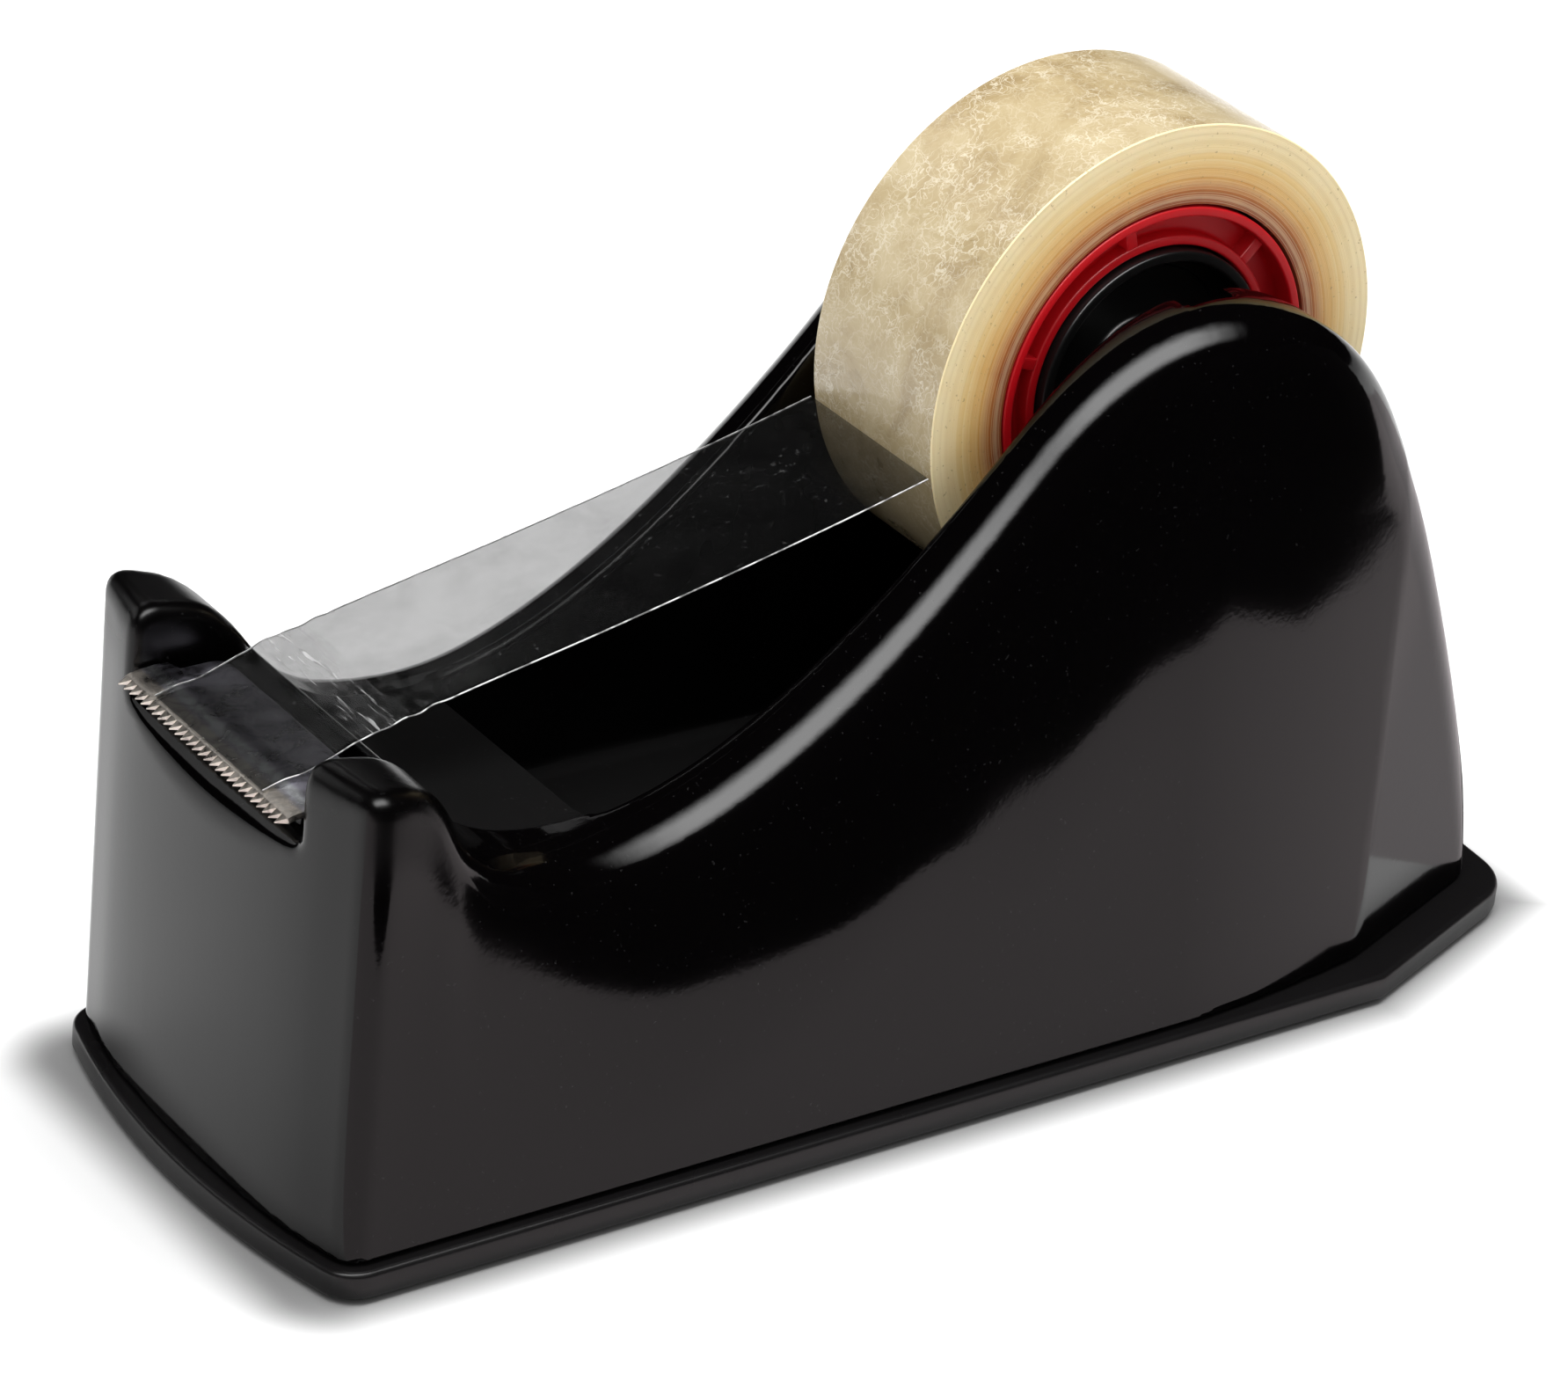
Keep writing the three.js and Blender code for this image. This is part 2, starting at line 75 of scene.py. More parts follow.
class Shader:
    """A small builder for one material's node tree round a Principled shader."""

    def __init__(self, name: str) -> None:
        """Start an empty material.

        Args:
            name: the material's name.
        """
        self.material = bpy.data.materials.new(name)
        self.material.use_nodes = True
        self.tree = self.material.node_tree
        self.tree.nodes.clear()
        self.bsdf = self.tree.nodes.new("ShaderNodeBsdfPrincipled")
        output = self.tree.nodes.new("ShaderNodeOutputMaterial")
        self.link(self.bsdf.outputs["BSDF"], output.inputs["Surface"])

    def link(self, source: Socket, target: Socket) -> None:
        """Join an output to an input."""
        self.tree.links.new(source, target)

    def node(self, kind: str, **settings: object) -> bpy.types.Node:
        """Add a node.

        Args:
            kind: the node's type, without the ShaderNode prefix.
            settings: attributes to set on it.

        Returns:
            The new node.
        """
        made = self.tree.nodes.new("ShaderNode" + kind)
        for key, value in settings.items():
            setattr(made, key, value)
        return made

    def feed(self, socket: Socket, value: object) -> None:
        """Set a socket to a constant, or link an output into it."""
        if isinstance(value, Socket):
            self.link(value, socket)
        else:
            socket.default_value = value

    def base(self, **values: object) -> None:
        """Set sockets of the Principled shader by name, with _ for a space."""
        for key, value in values.items():
            self.feed(self.bsdf.inputs[key.replace("_", " ")], value)

    def place(
        self, scale: Sequence[float] = (1, 1, 1), centre: Sequence[float] = (0, 0, 0)
    ) -> Socket:
        """Object coordinates, centred on a point and then scaled.

        Args:
            scale: how many pattern units there are in a metre, along each axis.
            centre: the point that becomes zero, in metres.

        Returns:
            The vector output.
        """
        coords = self.node("TexCoord")
        mapping = self.node("Mapping")
        mapping.inputs["Location"].default_value = [-c * s for c, s in zip(centre, scale)]
        mapping.inputs["Scale"].default_value = scale
        self.link(coords.outputs["Object"], mapping.inputs["Vector"])
        return mapping.outputs["Vector"]

    def noise(
        self, vector: Socket, scale: float, detail: float = 3, rough: float = 0.5, warp: float = 0
    ) -> Socket:
        """A noise texture.

        Args:
            vector: the places that it is read at.
            scale: patterns in one unit of the vector.
            detail: how many finer layers it has.
            rough: how strong the finer layers are.
            warp: how far it is distorted.

        Returns:
            The value output.
        """
        made = self.node("TexNoise")
        self.link(vector, made.inputs["Vector"])
        made.inputs["Scale"].default_value = scale
        made.inputs["Detail"].default_value = detail
        made.inputs["Roughness"].default_value = rough
        made.inputs["Distortion"].default_value = warp
        return made.outputs["Fac"]

    def maths(self, kind: str, first: object, second: object = 0.0, clamp: bool = False) -> Socket:
        """The output of a Math node."""
        made = self.node("Math", operation=kind, use_clamp=clamp)
        self.feed(made.inputs[0], first)
        self.feed(made.inputs[1], second)
        return made.outputs[0]

    def remap(
        self, value: Socket, low: float, high: float, to_low: float = 0, to_high: float = 1
    ) -> Socket:
        """A smooth step of a value from one range to another.

        Args:
            value: the value.
            low: where the step starts.
            high: where the step ends.
            to_low: the result up to the start.
            to_high: the result from the end on.

        Returns:
            The result's output.
        """
        made = self.node("MapRange", interpolation_type="SMOOTHSTEP")
        self.link(value, made.inputs["Value"])
        made.inputs["From Min"].default_value = low
        made.inputs["From Max"].default_value = high
        made.inputs["To Min"].default_value = to_low
        made.inputs["To Max"].default_value = to_high
        return made.outputs["Result"]

    def ramp(self, value: Socket, stops: Sequence[tuple[float, Colour]]) -> Socket:
        """The colour output of a colour ramp."""
        made = self.node("ValToRGB")
        self.link(value, made.inputs["Fac"])
        elements = made.color_ramp.elements
        while len(elements) < len(stops):
            elements.new(0.5)
        for element, (place, colour) in zip(elements, stops):
            element.position = place
            element.color = colour
        return made.outputs["Color"]

    def mix(self, factor: object, first: object, second: object) -> Socket:
        """A colour between two colours."""
        made = self.node("Mix", data_type="RGBA")
        self.feed(made.inputs["Factor"], factor)
        self.feed(made.inputs["A"], first)
        self.feed(made.inputs["B"], second)
        return made.outputs["Result"]

    def axes(self, vector: Socket) -> bpy.types.Node:
        """A node whose outputs X, Y and Z are a vector's parts."""
        split = self.node("SeparateXYZ")
        self.link(vector, split.inputs["Vector"])
        return split

    def bump(self, height: Socket, strength: float, distance: float) -> None:
        """Raise the surface by a height, with distance in metres."""
        made = self.node("Bump")
        made.inputs["Strength"].default_value = strength
        made.inputs["Distance"].default_value = distance
        self.link(height, made.inputs["Height"])
        self.link(made.outputs["Normal"], self.bsdf.inputs["Normal"])


def grey(level: float) -> Colour:
    """An opaque grey."""
    return (level, level, level, 1.0)


# ---- Finishes ----


@dataclass(frozen=True)
class MouldedPlastic:
    """Moulded plastic with a fine skin, faint flow marks and a little dust.

    Attributes:
        name: the material's name.
        colour: the plastic's own colour.
        roughness: the polish of a clean spot.
        haze: how much rougher the dull patches are.
        grain: patterns of the skin in a metre.
        depth: height of the skin in metres.
        dust: how far the dust lightens the colour.
        specular: strength of the reflection.
    """

    name: str
    colour: Colour
    roughness: float
    haze: float = 0.06
    grain: float = 1500.0
    depth: float = 0.00001
    dust: float = 0.01
    specular: float = 0.5

    def polish(self, shader: Shader, place: Socket, cloud: Socket) -> Socket:
        """Roughness over the surface, from its flow marks."""
        return shader.remap(cloud, 0.3, 0.75, self.roughness, self.roughness + self.haze)

    def material(self) -> Material:
        """Build the node tree."""
        shader = Shader(self.name)
        place = shader.place()
        cloud = shader.noise(place, 38, 4, 0.55, 0.4)
        skin = shader.noise(place, self.grain, 2)
        speck = shader.remap(shader.noise(place, 2600, 1), 0.71, 0.78)
        dusty = tuple(c + self.dust for c in self.colour[:3]) + (1.0,)
        shader.base(
            Base_Color=shader.mix(shader.maths("MULTIPLY", speck, cloud), self.colour, dusty),
            Roughness=self.polish(shader, place, cloud),
            IOR=1.5,
            Specular_IOR_Level=self.specular,
        )
        shader.bump(skin, 0.35, self.depth)
        return shader.material


@dataclass(frozen=True)
class HousingPlastic(MouldedPlastic):
    """Polished outside, with a dull well for the roll and worn, rougher tops on the posts.

    Attributes:
        well_half_width: half the width of the dull zone, in metres.
        well_start: where along X the dull zone sets in, in metres.
        ragged: how far the dull zone's edge wanders, in metres.
        dull: roughness of the dull zone.
        handled: how much rougher the tops of the posts are.
        post_height: heights between which the posts get rougher, in metres.
        post_back: where along X the posts end, in metres.
    """

    well_half_width: float = 0.0141
    well_start: Pair = (-0.0585, -0.0555)
    ragged: float = 0.0004
    dull: float = 0.85
    handled: float = 0.2
    post_height: Pair = (0.040, 0.047)
    post_back: Pair = (-0.062, -0.055)

    def polish(self, shader: Shader, place: Socket, cloud: Socket) -> Socket:
        """Polished outside and dull within the well's width, behind the posts."""
        split = shader.axes(place)
        off_axis = shader.maths("ABSOLUTE", split.outputs["Y"])
        border = shader.maths("ADD", off_axis, shader.maths("MULTIPLY", cloud, self.ragged))
        within = shader.remap(border, self.well_half_width - self.ragged, self.well_half_width, 1, 0)
        behind = shader.remap(split.outputs["X"], *self.well_start)
        zone = shader.maths("MULTIPLY", within, behind)
        bright = super().polish(shader, place, cloud)
        spread = shader.maths("MULTIPLY", zone, shader.maths("SUBTRACT", self.dull, bright))
        high = shader.remap(split.outputs["Z"], *self.post_height, 0, self.handled)
        front = shader.remap(split.outputs["X"], *self.post_back, 1, 0)
        worn = shader.maths("MULTIPLY", high, front)
        return shader.maths("ADD", shader.maths("ADD", bright, spread), worn)


@dataclass(frozen=True)
class PressedSteel:
    """Bright pressed sheet steel with a mottled, handled surface.

    Attributes:
        name: the material's name.
        colour: the clean metal's colour.
        roughness: the polish of a clean spot.
        mottle: cloudy patches in a metre.
        draw_lines: lines left by the rolling, in a metre.
    """

    name: str
    colour: Colour
    roughness: float = 0.2
    mottle: float = 150.0
    draw_lines: float = 2200.0

    def tone(self, shader: Shader) -> object:
        """The clean metal's colour, or an output that gives it."""
        return self.colour

    def material(self) -> Material:
        """Build the node tree."""
        shader = Shader(self.name)
        place = shader.place()
        cloud = shader.noise(place, self.mottle, 6, 0.65, 0.8)
        lines = shader.noise(shader.place((0.08, 1, 1)), self.draw_lines, 2)
        tone = self.tone(shader)
        dark = shader.mix(0.5, tone, grey(0.0))
        both = shader.maths("ADD", cloud, shader.maths("MULTIPLY", lines, 0.35))
        shader.base(
            Base_Color=shader.mix(shader.remap(cloud, 0.38, 0.62), dark, tone),
            Metallic=1.0,
            Roughness=shader.remap(both, 0.45, 0.9, self.roughness, self.roughness + 0.22),
        )
        shader.bump(both, 0.4, 0.00004)
        return shader.material


@dataclass(frozen=True)
class BladeSteel(PressedSteel):
    """Blade steel: a dark landing, a painted highlight line along the bend and a paler, warmer flange.

    Attributes:
        bend: where the bend lies along X, in metres.
        bend_highlight: colour of the painted highlight along the bend.
        flange_tone: the flange's paler, warmer colour.
    """

    bend: float = -0.0696
    bend_highlight: Colour = (0.95, 0.97, 1.0, 1)
    flange_tone: Colour = (0.88, 0.81, 0.73, 1)

    def tone(self, shader: Shader) -> object:
        """The landing's colour behind the bend and the flange's ahead of it, with a painted highlight line
        along the bend.
        """
        along = shader.axes(shader.place()).outputs["X"]
        flange = shader.remap(along, self.bend - 0.0012, self.bend - 0.0004, 1, 0)
        off_bend = shader.maths("ABSOLUTE", shader.maths("SUBTRACT", along, self.bend))
        # painted highlight: a thin bright line along the bend
        line = shader.remap(off_bend, 0.0001, 0.0009, 1, 0)
        return shader.mix(line, shader.mix(flange, self.colour, self.flange_tone), self.bend_highlight)


@dataclass(frozen=True)
class CastMetal:
    """Rough cast ballast metal with pits and a dull oxide skin.

    Attributes:
        name: the material's name.
        colour: the bare metal's colour.
    """

    name: str
    colour: Colour

    def material(self) -> Material:
        """Build the node tree."""
        shader = Shader(self.name)
        place = shader.place()
        pits = shader.noise(place, 900, 5, 0.7)
        oxide = shader.noise(place, 90, 4, 0.6, 0.5)
        brown = (self.colour[0] * 1.1, self.colour[1] * 0.85, self.colour[2] * 0.7, 1.0)
        shader.base(
            Base_Color=shader.mix(shader.remap(oxide, 0.45, 0.7), self.colour, brown),
            Metallic=0.6,
            Roughness=shader.remap(pits, 0.3, 0.7, 0.6, 0.85),
        )
        shader.bump(pits, 0.8, 0.0003)
        return shader.material


@dataclass(frozen=True)
class Rubber:
    """Matt rubber with a fine grain and a faint bloom.

    Attributes:
        name: the material's name.
        colour: the rubber's colour.
    """

    name: str
    colour: Colour

    def material(self) -> Material:
        """Build the node tree."""
        shader = Shader(self.name)
        place = shader.place()
        grain = shader.noise(place, 2400, 3, 0.6)
        bloom = shader.noise(place, 160, 3)
        lighter = tuple(c + 0.02 for c in self.colour[:3]) + (1.0,)
        shader.base(
            Base_Color=shader.mix(shader.remap(bloom, 0.4, 0.7), self.colour, lighter),
            Roughness=shader.remap(grain, 0.3, 0.7, 0.75, 0.95),
        )
        shader.bump(grain, 0.5, 0.00004)
        return shader.material


@dataclass(frozen=True)
class RolledTapeFace:
    """The flat side of a wound roll: fine turns, amber towards the core.

    Attributes:
        name: the material's name.
        centre: a point on the roll's axis, in metres.
        inner: radius where the turns start, in metres.
        outer: radius of the last turn, in metres.
        turns: fine turns in a metre of radius.
        bands: broader bands of turns in a metre of radius.
    """

    name: str
    centre: Place
    inner: float
    outer: float
    turns: float = 9000.0
    bands: float = 1500.0

    def radius(self, shader: Shader) -> Socket:
        """The distance from the roll's axis, in metres."""
        place = shader.place((1, 0, 1), self.centre)
        length = shader.node("VectorMath", operation="LENGTH")
        shader.link(place, length.inputs[0])
        return length.outputs["Value"]

    def rings(self, shader: Shader, radius: Socket, scale: float, detail: float) -> Socket:
        """Random shades that change with the radius only."""
        made = shader.node("TexNoise", noise_dimensions="1D")
        shader.link(shader.maths("MULTIPLY", radius, scale), made.inputs["W"])
        made.inputs["Scale"].default_value = 1.0
        made.inputs["Detail"].default_value = detail
        return made.outputs["Fac"]

    def material(self) -> Material:
        """Build the node tree."""
        shader = Shader(self.name)
        radius = self.radius(shader)
        across = shader.remap(radius, self.inner, self.outer)
        cloud = shader.noise(shader.place(), 150, 4, 0.6, 0.6)
        wobble = shader.maths("ADD", across, shader.maths("MULTIPLY", cloud, 0.22))
        tone = shader.ramp(
            shader.maths("SUBTRACT", wobble, 0.11),
            [
                (0.0, (0.28, 0.045, 0.007, 1)),
                (0.10, (0.48, 0.16, 0.028, 1)),
                (0.28, (0.68, 0.36, 0.085, 1)),
                (0.60, (0.78, 0.54, 0.22, 1)),
                (1.0, (0.82, 0.68, 0.40, 1)),
            ],
        )
        fine = self.rings(shader, radius, self.turns, 4.0)
        shade = shader.maths("ADD", fine, self.rings(shader, radius, self.bands, 2.0))
        lined = shader.mix(
            shader.remap(shade, 0.78, 1.25, 0.0, 0.3), tone, (0.95, 0.82, 0.52, 1)
        )
        specks = shader.remap(shader.noise(shader.place(), 2300, 2, 0.6), 0.65, 0.74, 0, 0.6)
        shader.base(
            Base_Color=shader.mix(specks, lined, (0.36, 0.24, 0.10, 1)),
            Roughness=shader.remap(cloud, 0.3, 0.7, 0.28, 0.5),
            Subsurface_Weight=0.15,
            Subsurface_Radius=(1.0, 0.6, 0.25),
            Subsurface_Scale=0.001,
            IOR=1.47,
        )
        shader.bump(shade, 0.4, 0.00004)
        return shader.material


@dataclass(frozen=True)
class RolledTapeOuter:
    """The outside of a wound roll: clear glossy film over pale trapped webs.

    Attributes:
        name: the material's name.
        swirl: curls of the webs in a metre.
        curl: how far the webs are bent, in metres.
        webs: cells in a metre and line width of the coarse, middle and fine webs.
    """

    name: str
    swirl: float = 420.0
    curl: float = 0.0055
    webs: tuple[Pair, ...] = ((260, 0.030), (480, 0.040), (900, 0.07))

    def web(self, shader: Shader, bent: Socket, scale: float, width: float) -> Socket:
        """Thin curly lines along the borders of bent cells."""
        cells = shader.node("TexVoronoi", feature="DISTANCE_TO_EDGE")
        shader.link(bent, cells.inputs["Vector"])
        cells.inputs["Scale"].default_value = scale
        return shader.remap(cells.outputs["Distance"], 0.0, width, 1.0, 0.0)

    def material(self) -> Material:
        """Build the node tree."""
        shader = Shader(self.name)
        place = shader.place()
        cloud = shader.noise(place, 110, 5, 0.6, 0.8)
        patch = shader.remap(shader.noise(place, 150, 3, 0.6, 0.5), 0.38, 0.62, 0.3, 1)
        swirl = shader.node("TexNoise")
        shader.link(place, swirl.inputs["Vector"])
        swirl.inputs["Scale"].default_value = self.swirl
        swirl.inputs["Detail"].default_value = 3.0
        bend = shader.node("VectorMath", operation="MULTIPLY_ADD")
        shader.link(swirl.outputs["Color"], bend.inputs[0])
        bend.inputs[1].default_value = (self.curl,) * 3
        shader.link(place, bend.inputs[2])
        bent = bend.outputs["Vector"]
        coarse, middle, fine = (self.web(shader, bent, scale, width) for scale, width in self.webs)
        webs = shader.maths("MAXIMUM", coarse, middle)
        thread = shader.maths("MAXIMUM", webs, shader.maths("MULTIPLY", fine, 0.4))
        veil = shader.maths("MULTIPLY", shader.maths("MULTIPLY", thread, patch), 0.7)
        cream = shader.ramp(
            cloud,
            [
                (0.30, (0.31, 0.225, 0.11, 1)),
                (0.50, (0.43, 0.335, 0.185, 1)),
                (0.70, (0.52, 0.43, 0.265, 1)),
            ],
        )
        shader.base(
            Base_Color=shader.mix(veil, cream, (0.72, 0.66, 0.52, 1)),
            Roughness=shader.remap(cloud, 0.3, 0.7, 0.24, 0.40),
            Coat_Weight=0.5,
            Coat_Roughness=0.08,
            IOR=1.47,
        )
        shader.bump(cloud, 0.25, 0.0002)
        return shader.material


@dataclass(frozen=True)
class ClearFilm:
    """Clear tape film, greyish, with specks, painted highlights along its cut edges and where it folds by
    the blade.

    Attributes:
        name: the material's name.
        body: how much of the light the film itself stops.
        edge: share of the width, at each side, that the painted edge highlight takes.
        fold: where the painted fold highlight rises, is full, fades and ends along X, in metres.
    """

    name: str
    body: float = 0.39
    edge: float = 0.003
    fold: tuple[float, float, float, float] = (-0.0622, -0.0608, -0.0592, -0.0560)

    def fold_highlight(self, shader: Shader) -> Socket:
        """Painted highlight where the film was folded: fine white lines and a thin veil across it."""
        split = shader.axes(shader.place())
        rise, full, fade, gone = self.fold
        band = shader.maths(
            "MULTIPLY",
            shader.remap(split.outputs["X"], rise, full),
            shader.remap(split.outputs["X"], fade, gone, 1, 0),
        )
        # painted highlight: fine white lines stretched across the film
        highlight_lines = shader.remap(
            shader.noise(shader.place((1, 0.05, 1)), 2800, 2, 0.5, 0.3), 0.58, 0.70, 0, 0.3
        )
        # painted highlight veil, lighter towards the far side of the film
        veil = shader.remap(split.outputs["Y"], -0.004, 0.0095, 0.02, 0.22)
        return shader.maths("MULTIPLY", band, shader.maths("ADD", highlight_lines, veil))

    def material(self) -> Material:
        """Build the node tree."""
        shader = Shader(self.name)
        split = shader.axes(shader.node("TexCoord").outputs["UV"])
        # painted highlight along both cut edges, found across the width from the UV's V
        middle = shader.maths("ABSOLUTE", shader.maths("SUBTRACT", split.outputs["Y"], 0.5))
        edge = shader.remap(middle, 0.5 - 2 * self.edge, 0.5 - self.edge)
        place = shader.place()
        specks = shader.remap(shader.noise(place, 1400, 3, 0.7), 0.62, 0.72)
        cloud = shader.noise(place, 160, 4, 0.65, 0.5)
        shade = shader.mix(shader.maths("MULTIPLY", specks, cloud), grey(0.004), grey(0.12))
        broken = shader.remap(shader.noise(place, 700, 2), 0.35, 0.6, 0.25, 0.8)
        # the painted edge and fold highlights also make the film less see-through
        rim = shader.maths("MAXIMUM", shader.maths("MULTIPLY", edge, broken), self.fold_highlight(shader))
        body = shader.remap(cloud, 0.3, 0.7, self.body, self.body + 0.04)
        shader.base(
            Base_Color=shader.mix(rim, shade, grey(0.9)),
            Roughness=shader.remap(cloud, 0.3, 0.7, 0.15, 0.28),
            IOR=1.47,
            Specular_IOR_Level=0.25,
            Alpha=shader.maths("ADD", body, rim, clamp=True),
        )
        shader.bump(cloud, 0.06, 0.00005)
        return shader.material


@dataclass(frozen=True)
class TableTop:
    """A plain pale surface, with a painted contact shadow close round the object if it is wanted.

    Attributes:
        name: the material's name.
        colour: the surface's colour.
        painted_shadow_foot: half the length and width of the object's foot, and its corner radius,
            in metres, round which the contact shadow is painted; empty for a card that nothing stands on.
        taper: where the foot starts to narrow, in metres, and the angle.
        reach: how far the painted shadow goes, in metres.
        depth: share of the colour that the painted shadow leaves at the foot.
    """

    name: str
    colour: Colour
    painted_shadow_foot: tuple[float, ...] = ()
    taper: Pair = (0.0486, math.radians(21.35))
    reach: float = 0.006
    depth: float = 0.3

    def vector(self, shader: Shader, kind: str, *values: object) -> bpy.types.Node:
        """A Vector Math node with its inputs set or linked in order."""
        made = shader.node("VectorMath", operation=kind)
        for socket, value in zip(made.inputs, values):
            shader.feed(socket, value)
        return made

    def surface(self, shader: Shader) -> object:
        """The colour, with a painted contact shadow that darkens it where the object stands close."""
        if not self.painted_shadow_foot:
            return self.colour
        length, width, corner = self.painted_shadow_foot
        place = shader.place()
        across = self.vector(shader, "ABSOLUTE", place).outputs[0]
        core = (length - corner, width - corner, 0)
        beyond = self.vector(shader, "SUBTRACT", across, core).outputs[0]
        outside = self.vector(shader, "MAXIMUM", beyond).outputs[0]
        gap = self.vector(shader, "LENGTH", outside)
        start, angle = self.taper
        fold = self.vector(shader, "MULTIPLY_ADD", across, (0, 1, 0), (-start, -width, 0)).outputs[0]
        forward = self.vector(shader, "MULTIPLY_ADD", place, (1, 0, 0), fold).outputs[0]
        lean = (math.sin(angle), math.cos(angle), 0)
        slope = self.vector(shader, "DOT_PRODUCT", forward, lean)
        away = shader.maths(
            "MAXIMUM", shader.maths("SUBTRACT", gap.outputs["Value"], corner), slope.outputs["Value"]
        )
        # painted contact shadow: the colour darkens towards black at the foot
        near = shader.remap(away, -0.001, self.reach, 1 - self.depth, 0)
        return shader.mix(near, self.colour, grey(0.0))

    def material(self) -> Material:
        """Build the node tree."""
        shader = Shader(self.name)
        paper = shader.noise(shader.place(), 40, 3)
        shader.base(
            Base_Color=self.surface(shader),
            Roughness=shader.remap(paper, 0.3, 0.7, 0.80, 0.88),
            Specular_IOR_Level=0.2,
        )
        return shader.material


GLOSS_BLACK = HousingPlastic(
    "gloss_black_abs", (0.0009, 0.0007, 0.0008, 1), 0.07, haze=0.03, dust=0.02, specular=0.25
)
SATIN_BLACK = MouldedPlastic(
    "satin_black_abs", (0.006, 0.0055, 0.0058, 1), 0.26, haze=0.1, depth=0.00002, specular=0.3
)
HUB_BLACK = MouldedPlastic("hub_black_abs", grey(0.005), 0.28, haze=0.08, depth=0.00002)
CORE_RED = MouldedPlastic("red_styrene", (0.55, 0.004, 0.009, 1), 0.34, dust=0.01, specular=0.35)
BLADE_STEEL = BladeSteel("pressed_blade_steel", (0.66, 0.64, 0.74, 1), roughness=0.24, mottle=380)
SCREW_STEEL = PressedSteel("zinc_screw_steel", (0.55, 0.55, 0.57, 1), roughness=0.3)
BALLAST_IRON = CastMetal("cast_ballast", (0.16, 0.155, 0.15, 1))
FOOT_RUBBER = Rubber("foot_rubber", grey(0.02))
FILM = ClearFilm("clear_film")
# The floor carries a painted contact shadow round the dispenser's foot.
TABLE = TableTop("pale_table", grey(0.86), painted_shadow_foot=(0.074, 0.0256, 0.004))


# ---- Mesh helpers. Sizes here are in millimetres until make_piece scales them ----


def make_piece(name: str, points: Array, faces: Sequence, material: Material) -> Thing:
    """Turn points in millimetres and faces into a smooth-shaded object at the origin.

    Args:
        name: the piece's name.
        points: N by 3 places.
        faces: corner indices of each face.
        material: its finish.

    Returns:
        The new object.
    """
    mesh = bpy.data.meshes.new(name)
    rows = faces.tolist() if isinstance(faces, np.ndarray) else [list(f) for f in faces]
    mesh.from_pydata((np.asarray(points, float) * MM).tolist(), [], rows)
    mesh.validate()
    mesh.materials.append(material)
    mesh.shade_smooth()
    piece = bpy.data.objects.new(name, mesh)
    bpy.context.scene.collection.objects.link(piece)
    return piece


def crease(piece: Thing, degrees: float = 32.0) -> None:
    """Mark edges sharper than an angle, so that they stay crisp under smooth shading."""
    made = bmesh.new()
    made.from_mesh(piece.data)
    limit = math.radians(degrees)
    for edge in made.edges:
        edge.smooth = edge.calc_face_angle(0.0) < limit
    made.to_mesh(piece.data)
    made.free()


def recalculate(piece: Thing, merge: float = 1e-7) -> None:
    """Merge doubles and turn every face outwards."""
    made = bmesh.new()
    made.from_mesh(piece.data)
    bmesh.ops.remove_doubles(made, verts=made.verts, dist=merge)
    bmesh.ops.recalc_face_normals(made, faces=made.faces)
    made.to_mesh(piece.data)
    made.free()


def lathe(profile: Sequence[Pair], sides: int, centre: Sequence[float]) -> tuple[Array, list]:
    """Turn a closed profile of (radius, y) points about an axis along Y.

    Args:
        profile: the points in order; a point at radius zero becomes a pole.
        sides: steps round the axis.
        centre: the axis's middle point.

    Returns:
        Points and faces.
    """
    angles = np.arange(sides) * 2 * math.pi / sides
    points: list = []
    rows: list = []
    for radius, y in profile:
        if radius < 1e-6:
            rows.append([len(points)] * sides)
            points.append((centre[0], centre[1] + y, centre[2]))
            continue
        rows.append(list(range(len(points), len(points) + sides)))
        for angle in angles:
            x = centre[0] + radius * math.cos(angle)
            points.append((x, centre[1] + y, centre[2] + radius * math.sin(angle)))
    faces = []
    on_axis = profile[0][0] < 1e-6 and profile[-1][0] < 1e-6
    steps = len(profile) - 1 if on_axis else len(profile)
    for step in range(steps):
        low, high = rows[step], rows[(step + 1) % len(profile)]
        for side in range(sides):
            after = (side + 1) % sides
            corners = [low[side], low[after], high[after], high[side]]
            faces.append(list(dict.fromkeys(corners)))
    return np.array(points), faces


def rounded(corners: Sequence[Place], steps: int = 8) -> Array:
    """A closed outline with an arc at each corner that has a radius.

    Args:
        corners: (a, b, radius) of each corner, in order.
        steps: segments in each arc.

    Returns:
        The outline's points.
    """
    outline: list = []
    count = len(corners)
    for index, (a, b, radius) in enumerate(corners):
        here = np.array((a, b))
        if radius <= 0:
            outline.append(here)
            continue
        inward = np.array(corners[index - 1][:2]) - here
        outward = np.array(corners[(index + 1) % count][:2]) - here
        inward /= np.linalg.norm(inward)
        outward /= np.linalg.norm(outward)
        half = math.acos(float(np.clip(inward @ outward, -1, 1))) / 2
        middle = (inward + outward) / np.linalg.norm(inward + outward)
        centre = here + middle * radius / math.sin(half)
        start = here + inward * radius / math.tan(half) - centre
        end = here + outward * radius / math.tan(half) - centre
        first = math.atan2(start[1], start[0])
        turn = (math.atan2(end[1], end[0]) - first + math.pi) % (2 * math.pi) - math.pi
        for step in range(steps + 1):
            angle = first + turn * step / steps
            outline.append(centre + radius * np.array((math.cos(angle), math.sin(angle))))
    return np.array(outline)


def bezier(start: Pair, first: Pair, second: Pair, end: Pair, steps: int) -> Array:
    """Points along a cubic curve, without its last point.

    Args:
        start: where it starts.
        first: the handle that it leaves towards.
        second: the handle that it arrives from.
        end: where it ends.
        steps: how many points it gets.

    Returns:
        The points.
    """
    t = (np.arange(steps) / steps)[:, None]
    p0, p1, p2, p3 = (np.array(p, float) for p in (start, first, second, end))
    return (1 - t) ** 3 * p0 + 3 * (1 - t) ** 2 * t * p1 + 3 * (1 - t) * t**2 * p2 + t**3 * p3


